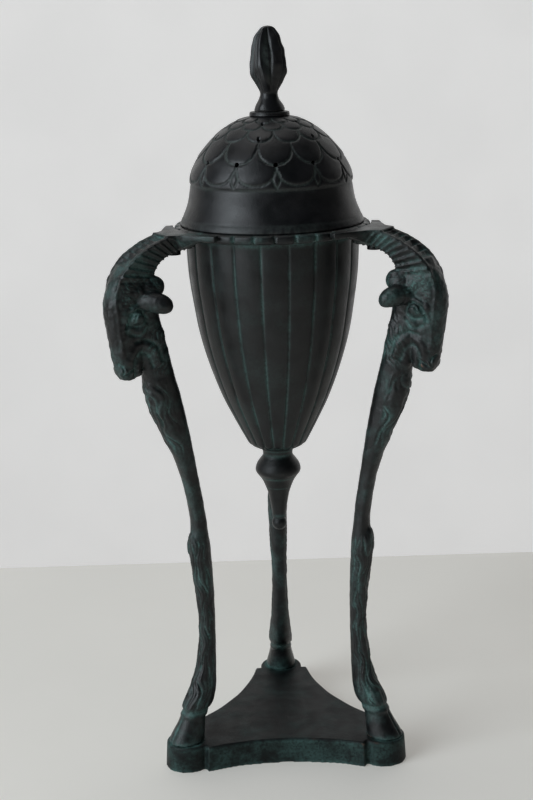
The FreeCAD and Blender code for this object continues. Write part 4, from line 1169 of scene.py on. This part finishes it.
@dataclass
class Lid:
    """The pierced lid, its dome laid with rows of scales that point down."""

    rim: float
    steps: int = 540
    repeats: int = 12
    pattern_turn: float = 2.6
    hole: float = 0.85
    spigot: float = 31.6
    inner: float = 29.9
    spigot_depth: float = 4.0
    wall: float = 1.7
    skirt: tuple[Point, ...] = (
        (35.5, 0.0), (35.35, 1.0), (34.75, 2.6), (34.45, 3.1), (33.5, 5.2), (32.55, 7.8), (31.9, 10.6),
        (31.45, 13.4), (31.15, 15.3))
    dome: tuple[Point, ...] = (
        (31.5, 15.9), (31.45, 17.0), (31.2, 18.7), (30.5, 20.7), (29.6, 22.6), (28.4, 24.8), (27.0, 27.0),
        (23.4, 31.3), (18.7, 35.5), (13.1, 38.8), (9.7, 39.95), (7.0, 40.55))
    rows: tuple[Point, ...] = ((8.9, 40.0, 0.0), (13.5, 38.6, 1.0), (16.9, 36.3, 0.0), (21.2, 32.3, 1.0),
                               (27.9, 24.6, 0.0), (31.2, 17.1, 1.0))

    def build(self, finishes: Finishes) -> None:
        """Turn the lid as one closed wall, carve its scales and bore its smoke holes."""
        outside = [*through(self.skirt, 0.6), *through(self.dome, 0.34)]
        inside = [Vector((x, z, 0)) for x, z in (
            (7.0, 38.9), (12.2, 37.0), (16.9, 34.0), (21.2, 29.6), (24.9, 25.4), (27.2, 21.5), (29.0, 18.0),
            (self.inner, 15.0), (self.inner, 8.0), (self.inner, -self.spigot_depth),
            (self.spigot, -self.spigot_depth), (self.spigot, 0.0))]
        bore = [Vector((STUD_HOLE, 40.6, 0)), Vector((STUD_HOLE, 38.9, 0))]
        outline = [point + Vector((0, self.rim, 0)) for point in (*outside, *bore, *inside)]
        piece = new_piece("scaled_lid", turned(outline, self.steps, closed=True))
        hollow = carve(piece.data, self.relief)
        mark_relief(piece.data, hollow, reach=2)
        self.bore_holes(piece)
        dress(piece, finishes.lid, Body.LID, Slot.BRONZE, "lid_dome")

    def along_wall(self, places: np.ndarray) -> tuple[np.ndarray, np.ndarray]:
        """Return how far down the dome each place lies from the crown, and each row's tip."""
        curve = through([(round_, height) for round_, height in self.dome], 0.3)
        heights = np.array([point.y for point in curve]) + self.rim
        lengths = np.concatenate([[0.0], np.cumsum([(b - a).length for a, b in zip(curve, curve[1:])])])
        lengths = lengths[-1] - lengths
        tips = np.interp([self.rim + height for _, height, _ in self.rows], heights, lengths)
        return np.interp(places[:, 2], heights, lengths), tips

    def relief(self, places: np.ndarray, normals: np.ndarray) -> tuple[np.ndarray, np.ndarray]:
        """Return each scale's soft swelling and the ribbon cut round it."""
        round_, turn = round_the_axis(places)
        turn = turn - self.pattern_turn
        along, tips = self.along_wall(places)
        outer = facing_out(places, normals, round_)
        outer = ((outer > 0.05) | (normals[:, 2] > 0.5)) & (places[:, 2] > self.rim + 16.2) & (round_ > 7.2)
        spread = 360.0 / self.repeats
        nearest = np.full(len(places), 9.0)
        depth = np.zeros(len(places))
        for index in range(1, len(tips)):
            shift = 0.5 * self.rows[index][2]
            side = np.abs((turn / spread + 0.5 - shift) % 1.0 - 0.5) * 2.0
            across = side * math.pi * round_ / self.repeats
            half = math.pi * round_ / self.repeats
            for share in np.linspace(0.0, 1.0, 44):
                angle = share * math.pi / 2
                line_side = math.sin(angle) ** 0.9
                drop = 0.04 + 0.96 * math.cos(angle) ** 0.92
                line_along = tips[index - 1] + (tips[index] - tips[index - 1]) * drop
                distance = np.hypot(across - half * line_side, along - line_along)
                nearest = np.minimum(nearest, distance)
            swell = np.clip(1 - side**2, 0, 1) * bell(along - tips[index] + 2.6, 3.4)
            depth = np.maximum(depth, 0.1 * swell)
        nearest = np.minimum(nearest, self.dart_line(turn, along, round_, tips))
        ragged = 0.16 * np.sin(turn * 2.3 + along * 3.1) + 0.12 * np.sin(turn * 5.9 - along * 1.7)
        wobble = nearest + ragged * 0.6
        groove = 1 - smoothstep(0.2, 0.58, wobble)
        carved = outer * (depth * smoothstep(0.4, 1.6, nearest) - 0.34 * groove)
        hollow = outer * (1 - smoothstep(0.24, 0.68, wobble))
        step = bell(places[:, 2] - self.rim - 15.6, 0.45) * (round_ > 30.6)
        incised = bell(places[:, 2] - self.rim - 2.85, 0.28) * (round_ > 33.8)
        carved = carved - 0.22 * incised - 0.15 * step
        hollow = np.maximum(hollow, np.maximum(0.85 * step, 0.7 * incised))
        rough = (places[:, 2] < self.rim + 2.6) * (places[:, 2] > self.rim + 0.2) * (round_ > 34.2)
        hollow = np.maximum(hollow, rough * (0.3 + 0.25 * np.sin(turn * 1.7) * np.sin(turn * 0.61)))
        return carved, hollow

    def dart_line(self, turn: np.ndarray, along: np.ndarray, round_: np.ndarray,
                  tips: np.ndarray) -> np.ndarray:
        """Return the distance from the small leaf that hangs under each hole of the lowest row."""
        spread = 360.0 / self.repeats
        side = np.abs((turn / spread + 0.5) % 1.0 - 0.5) * 2.0
        across = side * math.pi * round_ / self.repeats
        top, low = tips[-2] + 1.9, tips[-1] + 0.7
        best = np.full(len(turn), 9.0)
        for share in np.linspace(0.0, 1.0, 30):
            wide = 1.35 * math.sin(math.pi * share) ** 0.8
            best = np.minimum(best, np.hypot(across - wide, along - (top + (low - top) * share)))
        return best

    def bore_holes(self, piece: bpy.types.Object) -> None:
        """Bore three rows of smoke holes through the wall."""
        tools = bmesh.new()
        for index, count in ((1, 6), (3, 6), (4, 12)):
            reach, height, odd = self.rows[index]
            level = count == 12
            for number in range(count):
                turn = REST_FRONT + self.pattern_turn - 15.0 * odd + number * 360.0 / count
                made = bmesh.ops.create_cone(tools, cap_ends=True, segments=20, radius1=self.hole,
                                             radius2=self.hole, depth=8.0)["verts"]
                if level:
                    bmesh.ops.rotate(tools, verts=made, matrix=Matrix.Rotation(math.pi / 2, 3, "Y"))
                bmesh.ops.translate(tools, verts=made, vec=(reach, 0, self.rim + height))
                bmesh.ops.rotate(tools, verts=made, matrix=Matrix.Rotation(math.radians(turn), 3, "Z"))
        cutter = new_piece("smoke_hole_cutter", tools)
        cut = piece.modifiers.new("smoke_holes", "BOOLEAN")
        cut.operation, cut.object, cut.solver = "DIFFERENCE", cutter, "MANIFOLD"
        fix_modifiers(piece)
        bpy.data.objects.remove(cutter)


@dataclass
class Finial:
    """The small disc on the lid's crown and the bud of twisted leaves above it."""

    disc_low: float
    disc_high: float
    tip: float
    folds: int = 5
    twist: float = 0.28
    profile: tuple[Point, ...] = (
        (5.6, 0.0), (5.75, 0.7), (5.4, 1.9), (4.6, 3.5), (3.75, 5.2), (3.35, 6.5), (3.55, 7.6), (4.3, 9.2),
        (5.3, 11.0), (6.2, 13.1), (6.7, 15.2), (6.75, 17.4), (6.55, 19.8), (6.1, 22.4), (5.35, 25.2),
        (4.3, 27.8), (3.0, 29.9), (1.7, 31.3), (0.0, 31.7))

    def build(self, finishes: Finishes) -> None:
        """Turn the disc and the bud, and fold the bud's leaves over each other."""
        low, high = self.disc_low, self.disc_high
        middle = (low + high) / 2
        disc = through(((0.0, low), (7.2, low), (7.65, middle - 0.35), (7.7, middle), (7.5, middle + 0.4),
                        (7.0, high), (0.0, high)), 0.3)
        ring = new_piece("finial_disc", turned(disc, 128))
        places, _ = corners(ring.data)
        mark_relief(ring.data, 0.8 * bell(np.hypot(places[:, 0], places[:, 1]) - 6.0, 0.6))
        dress(ring, finishes.lid, Body.LID, Slot.BRONZE, "finial_collar")

        foot = Vector((0, high, 0))
        outline = [foot, *[point + foot for point in through(self.profile, 0.22)]]
        bud = new_piece("leaf_bud", turned(outline, 200))
        hollow = carve(bud.data, self.relief)
        trim(bud.data, high, self.tip)
        mark_relief(bud.data, hollow, reach=2)
        dress(bud, finishes.lid, Body.LID, Slot.BRONZE, "finial_bud")

    def relief(self, places: np.ndarray, _: np.ndarray) -> tuple[np.ndarray, np.ndarray]:
        """Return long leaf folds that wind up the bud and lap over one another."""
        height = (places[:, 2] - self.disc_high) / (self.tip - self.disc_high)
        turn = np.arctan2(places[:, 1], places[:, 0]) / FULL_TURN
        body = smoothstep(0.2, 0.38, height) * (1 - smoothstep(0.95, 1.0, height))
        sway = 0.08 * np.sin(height * 5.2 + turn * FULL_TURN) + 0.2 * np.sin(turn * FULL_TURN * 2)
        wind = turn * self.folds + self.twist * height + sway
        part = wind % 1.0
        fold = np.where(part < 0.78, part / 0.78, (1 - part) / 0.22)
        crease = np.abs(np.sin(wind * FULL_TURN * 1.0 + 0.5 * np.sin(height * 7.0)))
        foot = (1 - smoothstep(0.12, 0.24, height)) * smoothstep(0.0, 0.03, height)
        dents = lumps(places, 9.0)
        proud = 0.8 * bell((turn + 0.03) * FULL_TURN * 6.5, 1.3) * bell(height - 0.46, 0.05)
        carved = body * (1.25 * (fold - 0.66) - 0.42 * bell(crease, 0.24) + 0.35 * dents)
        carved = carved + foot * 0.25 * dents + proud
        return carved, body * np.maximum(bell(part - 0.97, 0.1), 0.6 * bell(crease, 0.2))


# --- the stage ------------------------------------------------------------------------------


@dataclass(frozen=True)
class Viewpoint:
    """Where the camera stands, in millimetres and degrees."""

    eye: tuple[float, float, float] = (0.0, -573.0, 298.0)
    pitch: float = 14.8
    yaw: float = -0.4
    roll: float = -1.5
    lens: float = 66.6
    round_the_axis: float = -1.1

    def place(self) -> None:
        """Make the camera and look at the burner with it."""
        pitch, yaw, roll = (math.radians(angle) for angle in (self.pitch, self.yaw, self.roll))
        forward = Vector((math.sin(yaw) * math.cos(pitch), math.cos(yaw) * math.cos(pitch), -math.sin(pitch)))
        right = Vector((math.cos(yaw), -math.sin(yaw), 0.0))
        up = right.cross(forward)
        across = math.cos(roll) * right + math.sin(roll) * up
        upward = math.cos(roll) * up - math.sin(roll) * right
        turn = Matrix((across, upward, -forward)).transposed().to_4x4()
        camera = bpy.data.objects.new("camera", bpy.data.cameras.new("camera"))
        camera.data.lens, camera.data.sensor_width, camera.data.clip_start = self.lens, 36.0, 0.01
        camera.matrix_world = (Matrix.Rotation(math.radians(self.round_the_axis), 4, "Z")
                               @ Matrix.Translation(Vector(self.eye) * MM) @ turn)
        bpy.context.scene.collection.objects.link(camera)
        bpy.context.scene.camera = camera


@dataclass
class Stage:
    """A pale table against a paler wall, under soft window light from the left."""

    edge: float = 0.204
    wall: float = 2.4
    half: float = 4.5
    tall: float = 3.4

    def build(self) -> None:
        """Make the backdrop, the lights and the camera."""
        table = StageFinish("pale_table", (0.6, 0.585, 0.55), 0.35)
        wall = StageFinish("pale_wall", (0.74, 0.735, 0.725), 0.7)
        rounded = [(self.edge + 0.004 * math.sin(part), -0.004 * (1 - math.cos(part)))
                   for part in np.linspace(0, math.pi / 2, 8)]
        self.sheet("table", [(-1.6, 0.0), *rounded, (self.edge + 0.004, -0.5)], table.material())
        self.sheet("wall", [(self.wall, -1.2), (self.wall, self.tall)], wall.material())
        self.light("window", (-1.2, -0.75, 0.75), (1.0, 1.4), 23.0, (0.86, 0.94, 1.0))
        self.light("ceiling", (-0.2, 0.3, 1.7), (1.2, 0.9), 5.0, (1.0, 0.99, 0.975))
        world = bpy.data.worlds.new("room")
        world.use_nodes = True
        world.node_tree.nodes["Background"].inputs["Color"].default_value = (0.92, 0.95, 1.0, 1.0)
        world.node_tree.nodes["Background"].inputs["Strength"].default_value = 0.06
        bpy.context.scene.world = world
        bpy.context.scene.view_settings.view_transform = "Standard"
        Viewpoint().place()

    def sheet(self, name: str, outline: Sequence[tuple[float, float]], material: bpy.types.Material) -> None:
        """Draw a wide sheet along an outline of distance behind the burner and height, in metres."""
        shape = bmesh.new()
        rows = [[shape.verts.new((side * self.half, reach, height)) for side in (-1.0, 1.0)]
                for reach, height in outline]
        for (left, right), (next_left, next_right) in zip(rows, rows[1:]):
            shape.faces.new((left, right, next_right, next_left))
        sheet = new_piece(name, shape, scale=1.0)
        sheet.data.materials.append(material)

    def light(self, name: str, place: Point, size: tuple[float, float], power: float, tint: Point) -> None:
        """Hang one rectangular light that looks at the burner's middle."""
        lamp = bpy.data.lights.new(name, "AREA")
        lamp.shape, lamp.size, lamp.size_y, lamp.energy, lamp.color = "RECTANGLE", *size, power, tint
        holder = bpy.data.objects.new(name, lamp)
        way = Vector((0.0, 0.0, 0.15)) - Vector(place)
        holder.matrix_world = Matrix.Translation(place) @ way.to_track_quat("-Z", "Y").to_matrix().to_4x4()
        bpy.context.scene.collection.objects.link(holder)


# --- the whole burner -----------------------------------------------------------------------


STEEL_NODES = ("foot_screws", "foot_washers", "collar_screws", "drop_stud", "drop_washer", "drop_nut",
               "finial_stud", "finial_washer", "finial_nut")


class IncenseBurner:
    """The whole object: the stand, the urn with its drop, the liner and the lid."""

    def __init__(self) -> None:
        """Measure the frame's nodes and set out each piece."""
        plinth, collar, leg = node_box("base_plinth"), node_box("collar_ring"), node_box("leg_rear")
        bud, disc = node_box("finial_bud"), node_box("finial_collar")
        top = collar[1].z
        self.pieces = (
            Plinth(height=plinth[1].z),
            Leg(low=leg[0].z, top=leg[1].z, edge=COLLAR_EDGE),
            Collar(top=top, edge=COLLAR_EDGE),
            Urn(top=node_box("urn_bowl")[1].z),
            Drop(low=node_box("urn_drop")[0].z),
            Liner(),
            Lid(rim=node_box("urn_bowl")[1].z),
            Finial(disc_low=disc[0].z, disc_high=disc[1].z, tip=bud[1].z),
        )

    def build(self, finishes: Finishes) -> None:
        """Build every piece and finish the fasteners that keep their CAD meshes."""
        for piece in self.pieces:
            piece.build(finishes)
        for name in STEEL_NODES:
            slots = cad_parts[name].data.materials
            slots.clear()
            slots.append(finishes.black_steel if name == "collar_screws" else finishes.steel)


def main() -> None:
    """Build the burner and its stage."""
    logging.basicConfig(level=logging.INFO, format="%(name)s: %(message)s")
    IncenseBurner().build(Finishes())
    Stage().build()


if __name__ == "__main__":
    main()
